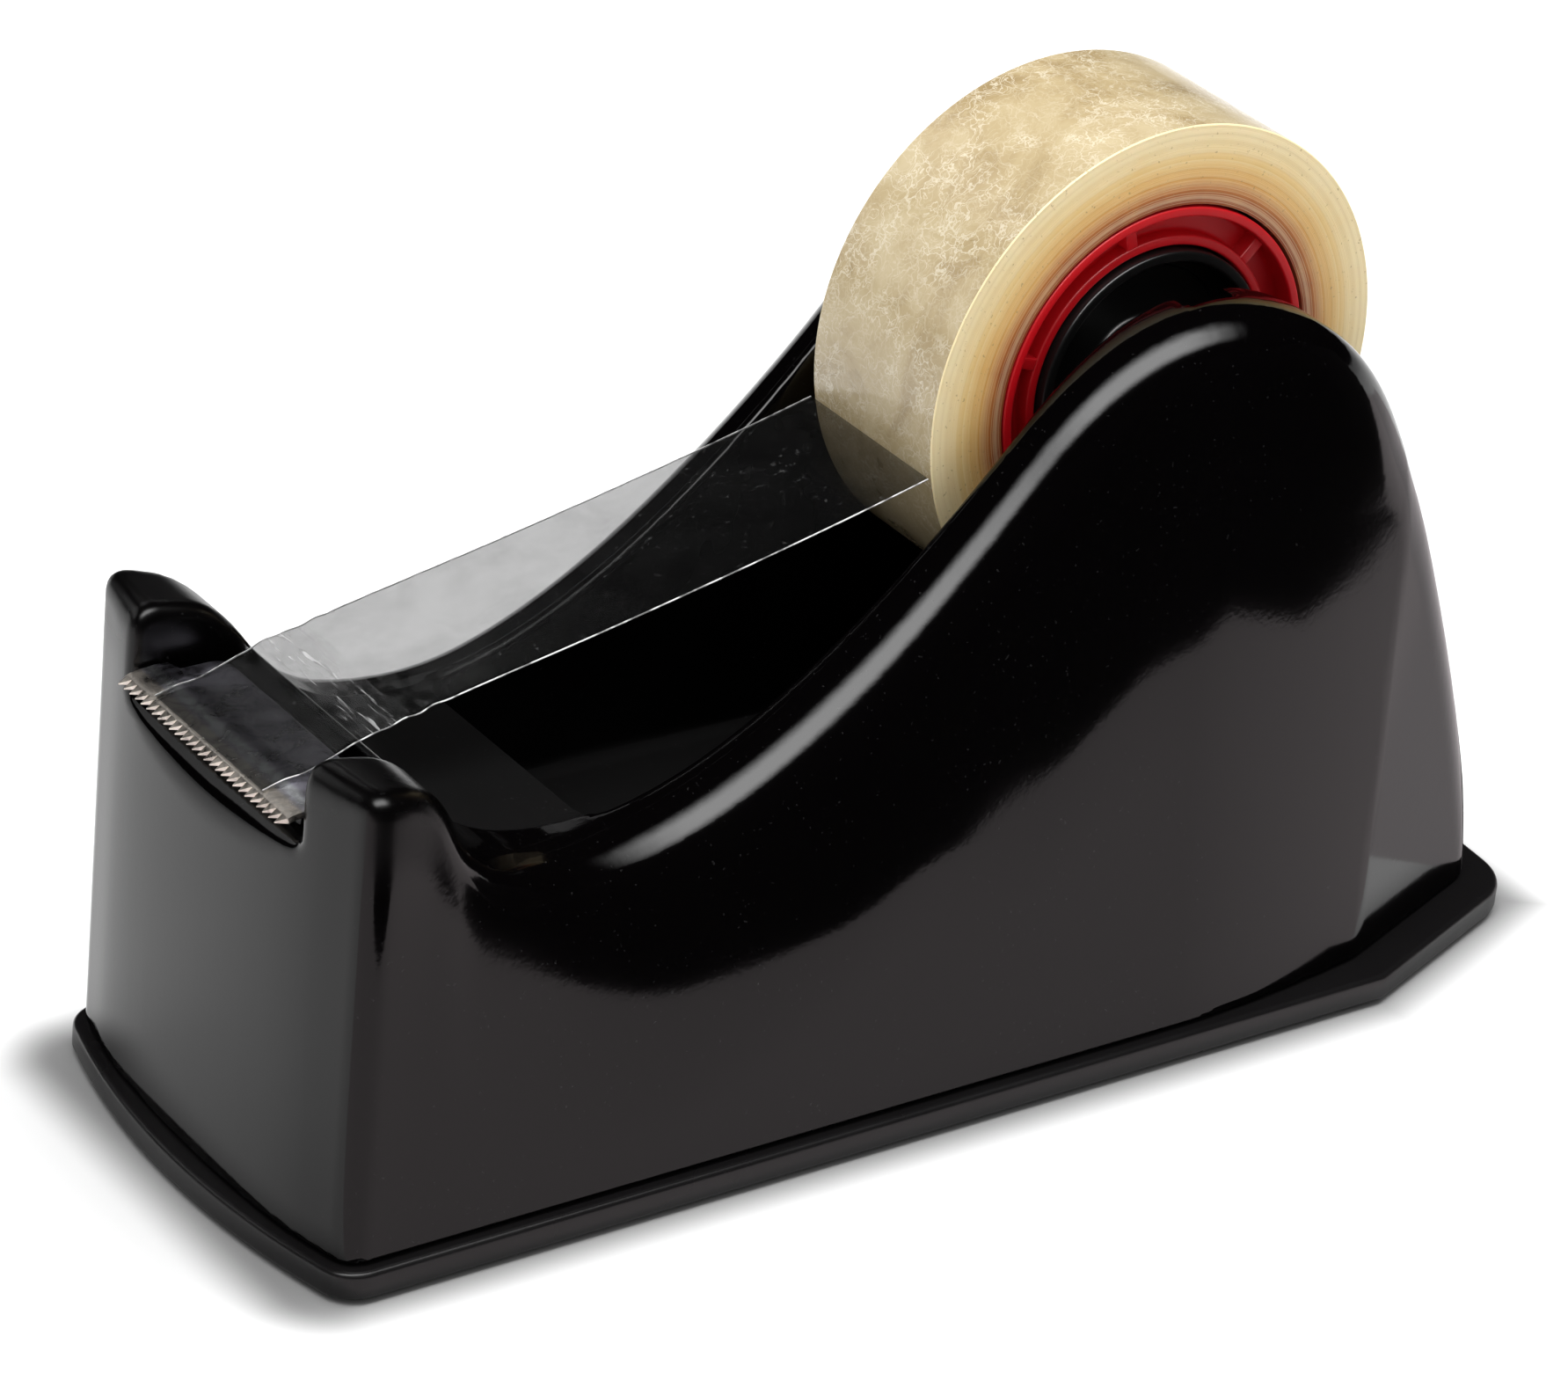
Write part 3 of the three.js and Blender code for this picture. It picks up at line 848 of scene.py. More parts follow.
def signed_distance(outline: Array, places: Array, block: int = 600) -> Array:
    """Distance from places to a closed outline, negative inside it.

    Args:
        outline: the outline's corners.
        places: N by 2 places.
        block: how many places are measured at once.

    Returns:
        N distances.
    """
    outline = outline[np.linalg.norm(outline - np.roll(outline, -1, axis=0), axis=1) > 1e-6]
    ends = np.roll(outline, -1, axis=0)
    ax, ay = outline.T
    bx, by = (ends - outline).T
    scale = 1 / (bx * bx + by * by)
    rise = np.where(np.abs(by) > 1e-12, by, 1e-12)
    result = np.empty(len(places))
    for start in range(0, len(places), block):
        px = places[start : start + block, :1] - ax
        py = places[start : start + block, 1:] - ay
        t = np.clip((px * bx + py * by) * scale, 0, 1)
        away = (px - t * bx) ** 2 + (py - t * by) ** 2
        crosses = ((py < 0) != (py < by)) & (px < py * bx / rise)
        inside = crosses.sum(axis=1) % 2
        result[start : start + block] = np.sqrt(away.min(axis=1)) * (1 - 2 * inside)
    return result


def join_round(first: Array, second: Array, radius: object) -> Array:
    """What two shapes share, with their meeting edge rounded to a radius."""
    a = np.maximum(first + radius, 0)
    b = np.maximum(second + radius, 0)
    return np.minimum(np.maximum(first, second), -np.asarray(radius)) + np.hypot(a, b)


def smooth_step(value: Array, low: float, high: float) -> Array:
    """0 below low, 1 above high, and a smooth rise between."""
    t = np.clip((value - low) / (high - low), 0, 1)
    return t * t * (3 - 2 * t)


@dataclass(frozen=True)
class Along:
    """A size that changes smoothly between two places along X.

    Attributes:
        before: the size up to the first place.
        after: the size from the second place on.
        start: the first place.
        end: the second place.
    """

    before: float
    after: float
    start: float
    end: float

    def at(self, x: Array) -> Array:
        """The size at each place."""
        return self.before + (self.after - self.before) * smooth_step(x, self.start, self.end)


def spaced(stretches: Sequence[Place]) -> Array:
    """Grid lines over stretches of (from, to, largest step)."""
    lines: list = []
    for low, high, step in stretches:
        count = max(1, math.ceil((high - low) / step))
        lines += [low + (high - low) * k / count for k in range(count)]
    return np.array(lines + [stretches[-1][1]])


class FieldMesher:
    """Draws the zero surface of a distance field as quads on an uneven grid."""

    def __init__(self, grid: Sequence[Array], field_of: Callable[[Array], Array]) -> None:
        """Keep the grid lines and the field.

        Args:
            grid: the grid lines along X, Y and Z.
            field_of: the field's value at N by 3 places, negative inside.
        """
        self.grid = grid
        self.field_of = field_of

    def values(self) -> Array:
        """The field at every grid point."""
        x, y, z = np.meshgrid(*self.grid, indexing="ij")
        places = np.stack([x.ravel(), y.ravel(), z.ravel()], axis=1)
        return self.field_of(places).reshape(x.shape)

    def crossing(self, axis: int, values: Array) -> tuple[Array, Array, Array]:
        """Find where the field changes sign along one axis.

        Args:
            axis: the axis.
            values: the field at every grid point.

        Returns:
            For each grid edge: if it is crossed, if it starts inside, and how far along.
        """
        count = values.shape[axis]
        low = np.take(values, range(count - 1), axis)
        high = np.take(values, range(1, count), axis)
        changes = (low < 0) != (high < 0)
        share = np.where(changes, low / np.where(changes, low - high, 1), 0)
        return changes, low < 0, share

    def build(self) -> tuple[Array, Array]:
        """Mesh the surface.

        Returns:
            Points and four-cornered faces that look outwards.
        """
        values = self.values()
        cells = tuple(n - 1 for n in values.shape)
        total = np.zeros(cells + (3,))
        hits = np.zeros(cells)
        edges = []
        for axis in range(3):
            changes, inside, share = self.crossing(axis, values)
            edges.append((changes, inside))
            lines = self.grid[axis]
            along = lines[:-1].reshape([-1 if k == axis else 1 for k in range(3)])
            step = np.diff(lines).reshape(along.shape)
            others = [k for k in range(3) if k != axis]
            for da in (0, 1):
                for db in (0, 1):
                    pick = [slice(None)] * 3
                    pick[others[0]] = slice(da, da + cells[others[0]])
                    pick[others[1]] = slice(db, db + cells[others[1]])
                    here = changes[tuple(pick)]
                    hits += here
                    total[..., axis] += np.where(here, along + share[tuple(pick)] * step, 0)
                    for other, shift in zip(others, (da, db)):
                        line = self.grid[other][shift : shift + cells[other]]
                        line = line.reshape([-1 if k == other else 1 for k in range(3)])
                        total[..., other] += np.where(here, line, 0)
        used = hits > 0
        index = np.full(cells, -1)
        index[used] = np.arange(used.sum())
        points = total[used] / hits[used][:, None]
        faces = []
        for axis in range(3):
            changes, inside = edges[axis]
            others = [(axis + 1) % 3, (axis + 2) % 3]
            core = [slice(None)] * 3
            for other in others:
                core[other] = slice(1, changes.shape[other] - 1)
            spots = np.argwhere(changes[tuple(core)])
            spots[:, others] += 1
            up = inside[tuple(spots.T)]
            ring = []
            for da, db in ((-1, -1), (0, -1), (0, 0), (-1, 0)):
                cell = spots.copy()
                cell[:, others[0]] += da
                cell[:, others[1]] += db
                ring.append(index[tuple(cell.T)])
            quad = np.stack(ring, axis=1)
            quad[~up] = quad[~up][:, ::-1]
            faces.append(quad)
        return self.settle(points), np.concatenate(faces)

    def settle(self, points: Array, rounds: int = 3, reach: float = 0.01) -> Array:
        """Move points onto the zero surface along the field's slope.

        Args:
            points: N by 3 places near the surface.
            rounds: how many moves each point makes.
            reach: how far away the slope is measured.

        Returns:
            The moved points.
        """
        for _ in range(rounds):
            value = self.field_of(points)
            slope = np.stack(
                [(self.field_of(points + step) - value) / reach for step in np.eye(3) * reach],
                axis=1,
            )
            size = np.maximum((slope**2).sum(1), 0.05)
            move = slope * (value / size)[:, None]
            length = np.linalg.norm(move, axis=1, keepdims=True)
            points = points - move * np.minimum(1, 0.25 / np.maximum(length, 1e-9))
        return points


# ---- Geometry Nodes helper ----


class Repeat:
    """A Geometry Nodes tree that puts copies of one shape at points and realises them."""

    def __init__(self, name: str) -> None:
        """Start the tree with its geometry input and output."""
        self.tree = bpy.data.node_groups.new(name, "GeometryNodeTree")
        self.tree.interface.new_socket("Geometry", in_out="INPUT", socket_type="NodeSocketGeometry")
        self.tree.interface.new_socket("Geometry", in_out="OUTPUT", socket_type="NodeSocketGeometry")
        self.inputs: dict[str, object] = {}
        self.entry = self.tree.nodes.new("NodeGroupInput")
        self.exit = self.tree.nodes.new("NodeGroupOutput")

    def named(self, name: str, kind: str, value: object) -> Socket:
        """Add a named input.

        Args:
            name: its name.
            kind: the socket type's last word, such as Float or Int.
            value: its value for this object.

        Returns:
            The output socket inside the tree.
        """
        made = self.tree.interface.new_socket(name, in_out="INPUT", socket_type="NodeSocket" + kind)
        self.inputs[made.identifier] = value
        return self.entry.outputs[name]

    def add(self, kind: str, **links: object) -> bpy.types.Node:
        """Add a node and feed its inputs by name, with _ for a space."""
        made = self.tree.nodes.new(kind)
        for key, value in links.items():
            self.feed(made.inputs[key.replace("_", " ")], value)
        return made

    def feed(self, socket: Socket, value: object) -> None:
        """Link an output to a socket, or set the socket's constant."""
        if isinstance(value, Socket):
            self.tree.links.new(value, socket)
        else:
            socket.default_value = value

    def maths(self, kind: str, first: object, second: object = 0.0) -> Socket:
        """The output of a Math node."""
        made = self.tree.nodes.new("ShaderNodeMath")
        made.operation = kind
        self.feed(made.inputs[0], first)
        self.feed(made.inputs[1], second)
        return made.outputs[0]

    def vector(self, x: object, y: object, z: object) -> Socket:
        """A vector from three numbers."""
        return self.add("ShaderNodeCombineXYZ", X=x, Y=y, Z=z).outputs[0]

    def finish(self, shape: Thing, points: Socket, turn: object, material: Material) -> None:
        """Copy a shape to the points, realise the copies and set their material.

        Args:
            shape: the object to copy.
            points: a geometry socket whose vertices are the places.
            turn: a rotation vector socket or constant for the copies.
            material: the finish of every copy.
        """
        source = self.add("GeometryNodeObjectInfo")
        source.inputs["Object"].default_value = shape
        copies = self.add(
            "GeometryNodeInstanceOnPoints",
            Points=points,
            Instance=source.outputs["Geometry"],
            Rotation=turn,
        )
        real = self.add("GeometryNodeRealizeInstances", Geometry=copies.outputs[0])
        painted = self.add("GeometryNodeSetMaterial", Geometry=real.outputs[0])
        painted.inputs["Material"].default_value = material
        self.feed(self.exit.inputs["Geometry"], painted.outputs[0])

    def run(self, name: str, seed: Array, shape: Thing) -> Thing:
        """Apply the tree to a set of places and keep the result as a plain mesh.

        Args:
            name: the finished piece's name.
            seed: N by 3 places in millimetres that the tree starts from.
            shape: the copied object, which is deleted.

        Returns:
            The finished object.
        """
        carrier = make_piece(name + "_places", seed, [], bpy.data.materials[0])
        modifier = carrier.modifiers.new("repeat", "NODES")
        modifier.node_group = self.tree
        for identifier, value in self.inputs.items():
            modifier[identifier] = value
        bpy.context.view_layer.update()
        depsgraph = bpy.context.evaluated_depsgraph_get()
        mesh = bpy.data.meshes.new_from_object(carrier.evaluated_get(depsgraph))
        mesh.name = name
        piece = bpy.data.objects.new(name, mesh)
        bpy.context.scene.collection.objects.link(piece)
        for gone in (carrier, shape):
            bpy.data.objects.remove(gone)
        bpy.data.node_groups.remove(self.tree)
        return piece


def hand_over(piece: Thing, body: Body, slot: str, *nodes: str) -> None:
    """Tell the frame what a finished piece rides on and what it stands for.

    Args:
        piece: the finished object.
        body: the body it moves with.
        slot: the record's material slot; not used.
        nodes: the model's nodes that it replaces.
    """
    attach(piece, body.value)
    if nodes:
        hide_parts(*nodes)
    LOG.info("%s: %d faces, rides on %s", piece.name, len(piece.data.polygons), body.value)


# ---- Outlines that several pieces share ----


@dataclass(frozen=True)
class Plan:
    """The dispenser seen from above: bowed front, straight flanks, tapered tail."""

    half_length: float = 74.0
    half_width: float = 25.6
    front_bow: float = 3.7
    front_corner: float = 4.0
    taper_start: float = 48.6
    taper_angle: float = math.radians(21.35)
    rear_corner: float = 7.0
    rear_bow: float = 1.2
    bow_radius: float = 80.0
    bow_shares: tuple[float, ...] = (1, 0.72, 0.54, 0.36, 0.18, 0, -0.18, -0.36, -0.54, -0.72, -1)

    def outline(self, inset: float, crease_radius: float = 0.0, steps: int = 10) -> Array:
        """The outline moved inwards.

        Args:
            inset: how far in it lies.
            crease_radius: softening of the bend where the tail starts.
            steps: segments in each rounded corner.

        Returns:
            The closed outline's points.
        """
        half_width = self.half_width - inset
        rear_x = self.half_length - inset
        taper_x = self.taper_start - inset * math.tan(self.taper_angle / 2)
        corner_x = rear_x - self.rear_bow
        corner_y = half_width - (corner_x - taper_x) * math.tan(self.taper_angle)
        front_radius = max(self.front_corner - inset, 1.0)
        rear_radius = max(self.rear_corner - inset, 1.0)
        corners = []
        for share in self.bow_shares:
            y = half_width * share
            x = -self.half_length + inset + self.front_bow * (y / self.half_width) ** 2
            corners.append((x, y, front_radius if abs(share) == 1 else self.bow_radius))
        corners.append((taper_x, -half_width, crease_radius))
        corners.append((corner_x, -corner_y, rear_radius))
        corners.append((rear_x, 0.0, 0.0))
        corners.append((corner_x, corner_y, rear_radius))
        corners.append((taper_x, half_width, crease_radius))
        return rounded(corners, steps)


PLAN = Plan()
BOSS_PLACES = ((-62.5, -16.0), (-62.5, 16.0), (57.0, -13.5), (57.0, 13.5))
BALLAST_SCREW_PLACES = ((-49.5, 0.0), (5.0, 0.0))
FOOT_PLACES = ((-50.0, -17.5), (-50.0, 17.5), (42.0, -17.5), (42.0, 17.5))
REEL_CENTRE = (22.9, 0.0, 66.2)


def loft(levels: Sequence[tuple[Array, float]]) -> tuple[Array, list]:
    """Stack outlines that have the same number of points, and close both ends.

    Args:
        levels: each outline with its height, from the bottom up.

    Returns:
        Points and faces.
    """
    count = len(levels[0][0])
    points = np.concatenate(
        [np.column_stack([outline, np.full(count, height)]) for outline, height in levels]
    )
    faces: list = [list(range(count))]
    for level in range(len(levels) - 1):
        low = level * count
        for k in range(count):
            after = (k + 1) % count
            faces.append([low + k, low + after, low + count + after, low + count + k])
    faces.append(list(range((len(levels) - 1) * count, len(levels) * count))[::-1])
    return points, faces


def quarter(radius: float, steps: int = 5) -> list[Pair]:
    """(inset, height) steps of a rounded edge, from a wall up onto a flat top."""
    turns = [math.pi / 2 * k / steps for k in range(steps + 1)]
    return [(radius * (1 - math.cos(t)), radius * math.sin(t)) for t in turns]


def carve(piece: Thing, tools: Sequence[Thing]) -> None:
    """Cut tool shapes out of a piece and delete the tools."""
    for tool in tools:
        modifier = piece.modifiers.new("cut", "BOOLEAN")
        modifier.operation = "DIFFERENCE"
        modifier.solver = "EXACT"
        modifier.object = tool
    bpy.context.view_layer.update()
    depsgraph = bpy.context.evaluated_depsgraph_get()
    mesh = bpy.data.meshes.new_from_object(piece.evaluated_get(depsgraph))
    piece.modifiers.clear()
    piece.data = mesh
    for tool in tools:
        bpy.data.objects.remove(tool)


def upright(name: str, place: Pair, steps: Sequence[Pair], sides: int, material: Material) -> Thing:
    """Turn (radius, height) steps about an upright axis.

    Args:
        name: the object's name.
        place: the axis's x and y.
        steps: the profile from the bottom up.
        sides: steps round the axis.
        material: its finish.

    Returns:
        The new object.
    """
    points, faces = lathe(steps, sides, (0, 0, 0))
    turned = np.column_stack([points[:, 0] + place[0], points[:, 2] + place[1], points[:, 1]])
    piece = make_piece(name, turned, faces, material)
    recalculate(piece)
    return piece


# ---- Housing ----


@dataclass
class Housing:
    """The moulded body: a side profile crossed with the plan, softened and hollowed."""

    inset: float = 1.2
    bottom: float = 3.6
    wall: float = 2.2
    post_top: float = 51.0
    dip: tuple[float, float] = (-43.0, 37.1)
    crest: tuple[float, float] = (22.5, 77.5)
    rear_foot: float = 71.6
    edge: Along = Along(1.8, 5.5, -64.0, -50.0)
    tail_edge_loss: Along = Along(0.0, 1.5, 44.0, 54.0)
    crease_edge: float = 9.0
    draft: Along = Along(0.2, 0.6, -70.0, -62.0)
    draft_height: float = 45.0
    post_lean: Along = Along(0.0, 1.9, -68.5, -57.0)
    saddle_lean: Along = Along(0.0, 1.9, -58.0, -34.0)
    back_lean: Along = Along(1.0, 0.0, 2.0, 40.0)
    lean_reach: Along = Along(30.0, 45.0, -14.0, 6.0)
    tail_draft: float = 0.045
    well: Place = (-40.3, 50.6, 13.8)
    well_floor: float = 24.0
    well_corner: float = 1.8
    well_foot: float = 1.5
    well_edge: float = 0.85
    notch_half_width: float = 14.72
    notch_rear: float = -59.8
    notch_corner: float = 1.2
    notch_foot: float = 0.9
    notch_edge: float = 1.4
    scoop: Along = Along(3.2, 0.0, -70.0, -66.0)
    scoop_half_width: float = 14.0
    ledge: float = 42.3
    anvil: tuple[float, float, float, float] = (-69.0, -63.2, 12.0, 44.5)
    slot_half_width: float = 2.8
    slot_reach: float = 16.05
    slot_corner: float = 0.4
    slot_edge: float = 0.35
    bottom_edge: float = 0.35
    boss_radius: float = 3.2
    pilot_radius: float = 1.5
    pilot_top: float = 14.0
    deep: float = -30.0

    def __post_init__(self) -> None:
        """Draw the two outlines once."""
        self.side = self.side_outline()
        self.top = self.side[(self.side[:, 1] > self.dip[1] - 8)]
        self.plan = PLAN.outline(self.inset, steps=6)

    def side_outline(self) -> Array:
        """Front wall, post, saddle, crest and sloping back, as a closed outline."""
        front = -PLAN.half_length + self.inset
        top = self.post_top
        dip_x, dip_z = self.dip
        crest_x, crest_z = self.crest
        runs = [
            np.array([(front, self.deep)]),
            bezier((front + 0.3, top - 4), (front + 0.37, top - 1.7), (front + 1.6, top - 0.4),
                   (front + 4, top - 0.25), 7),
            bezier((front + 4, top - 0.25), (-67.7, 50.6), (-66.6, 50.4), (-65.6, 50.15), 5),
            bezier((-65.6, 50.15), (-63.4, 49.7), (-61.4, 48.3), (-59.6, 45.8), 9),
            bezier((-59.6, 45.8), (-56.8, 41.3), (-53.5, dip_z), (dip_x, dip_z), 12),
            bezier((dip_x, dip_z), (-27, dip_z), (-10, 51.5), (3.5, 66.5), 22),
            bezier((3.5, 66.5), (8.5, 72.05), (14.5, crest_z), (crest_x, crest_z), 14),
            bezier((crest_x, crest_z), (32, crest_z), (41.3, 70.1), (46.3, 61.4), 16),
            bezier((46.3, 61.4), (55.7, 44.9), (66.6, 22.5), (self.rear_foot, self.bottom), 12),
            np.array([(self.rear_foot, self.bottom), (self.rear_foot + 8, self.deep)]),
        ]
        return np.concatenate(runs)

    def below_top(self, places: Array) -> Array:
        """How far places lie below the top line."""
        return np.interp(places[:, 0], self.top[:, 0], self.top[:, 1]) - places[:, 2]

    def shell(self, places: Array) -> Array:
        """Distance to the outer form before anything is cut into it."""
        x, z = places[:, 0], places[:, 2]
        flank = signed_distance(self.plan, places[:, :2])
        draft = self.draft.at(x) * np.clip(z - self.bottom, 0, None) / self.draft_height
        reach = self.lean_reach.at(x)
        depth = np.minimum(np.clip(self.below_top(places), 0, None), reach)
        lean = (self.post_lean.at(x) + self.saddle_lean.at(x)) * self.back_lean.at(x)
        lean = lean * (1 - depth / reach) ** 2
        flank = join_round(flank + draft + lean, self.tail(places), self.crease_edge)
        edge = self.edge.at(x) - self.tail_edge_loss.at(x)
        return join_round(signed_distance(self.side, places[:, [0, 2]]), flank, edge)

    def tail(self, places: Array) -> Array:
        """Distance to the tapered faces, which lean in more than the flanks do."""
        x, y, z = places.T
        angle = PLAN.taper_angle
        start = PLAN.taper_start - self.inset * math.tan(angle / 2)
        beside = np.abs(y) - PLAN.half_width + self.inset
        out = (x - start) * math.sin(angle) + beside * math.cos(angle)
        return out + self.tail_draft * np.clip(z - self.bottom, 0, 50)

    def well_field(self, places: Array) -> Array:
        """Distance to the roll's well, negative inside it."""
        low, high, half_width = self.well
        corner = self.well_corner
        qx = np.abs(places[:, 0] - (low + high) / 2) - (high - low) / 2 + corner
        qy = np.abs(places[:, 1]) - half_width + corner
        walls = np.hypot(np.maximum(qx, 0), np.maximum(qy, 0))
        walls = walls + np.minimum(np.maximum(qx, qy), 0) - corner
        return join_round(walls, self.well_floor - places[:, 2], self.well_foot)

    def notch_field(self, places: Array) -> Array:
        """Distance to the gap between the posts, with the blade's anvil left standing."""
        x, y, z = places.T
        sides = join_round(np.abs(y) - self.notch_half_width, x - self.notch_rear, self.notch_corner)
        gap = join_round(sides, self.ledge - z, self.notch_foot)
        front, rear, half_width, top = self.anvil
        anvil = np.maximum.reduce([front - x, x - rear, np.abs(y) - half_width, z - top])
        return np.maximum(gap, -anvil)

    def slot_field(self, places: Array) -> Array:
        """Distance to the two open-topped slots that take the axle's ends."""
        x, y, z = places.T
        across = np.abs(x - REEL_CENTRE[0])
        round_end = np.hypot(across, np.minimum(z - REEL_CENTRE[2], 0))
        reach = np.abs(y) - self.slot_reach
        return join_round(round_end - self.slot_half_width, reach, self.slot_corner)

    def columns(self, places: Array, radius: float) -> Array:
        """Distance to the upright cylinders at the base screws."""
        gaps = [np.hypot(places[:, 0] - x, places[:, 1] - y) for x, y in BOSS_PLACES]
        return np.minimum.reduce(gaps) - radius

    def field_of(self, places: Array) -> Array:
        """Distance to the whole housing, negative in the plastic."""
        x, y, z = places.T
        scoop = self.scoop.at(x) * np.clip(1 - (y / self.scoop_half_width) ** 2, 0, 1)
        form = join_round(self.shell(places), -self.well_field(places), self.well_edge)
        form = join_round(form, -self.notch_field(places), self.notch_edge + scoop)
        form = join_round(form, -self.slot_field(places), self.slot_edge)
        cavity = np.maximum(form + self.wall, -self.columns(places, self.boss_radius))
        form = np.maximum(form, -cavity)
        pilots = np.maximum(self.columns(places, self.pilot_radius), z - self.pilot_top)
        form = np.maximum(form, -pilots)
        return join_round(form, self.bottom - z, self.bottom_edge)

    def grid(self) -> list[Array]:
        """Grid lines, close together where small edges are."""
        half = spaced([(0.3, 11.3, 1.3), (11.3, 16.9, 0.45), (16.9, 24.9, 0.65)])
        across = np.concatenate([-half[::-1], half])
        along = spaced(
            [(-73.4, -56.2, 0.5), (-56.2, 19.2, 1.15), (19.2, 26.6, 0.6), (26.6, 74.6, 1.15)]
        )
        up = spaced([(3.6, 5.2, 0.4), (5.2, 34.2, 1.3), (34.2, 52.2, 0.62), (52.2, 78.4, 0.85)])
        return [along, across, up]

    def build(self, finish: MouldedPlastic) -> None:
        """Mesh, dress and hand over the housing."""
        points, faces = FieldMesher(self.grid(), self.field_of).build()
        points[:, 2] = np.maximum(points[:, 2], self.bottom)
        piece = make_piece("housing_shell", points, faces, finish.material())
        crease(piece, 42)
        hand_over(piece, Body.STAND, "gloss_black", "housing")


# ---- Base plate, ballast, screws and feet ----


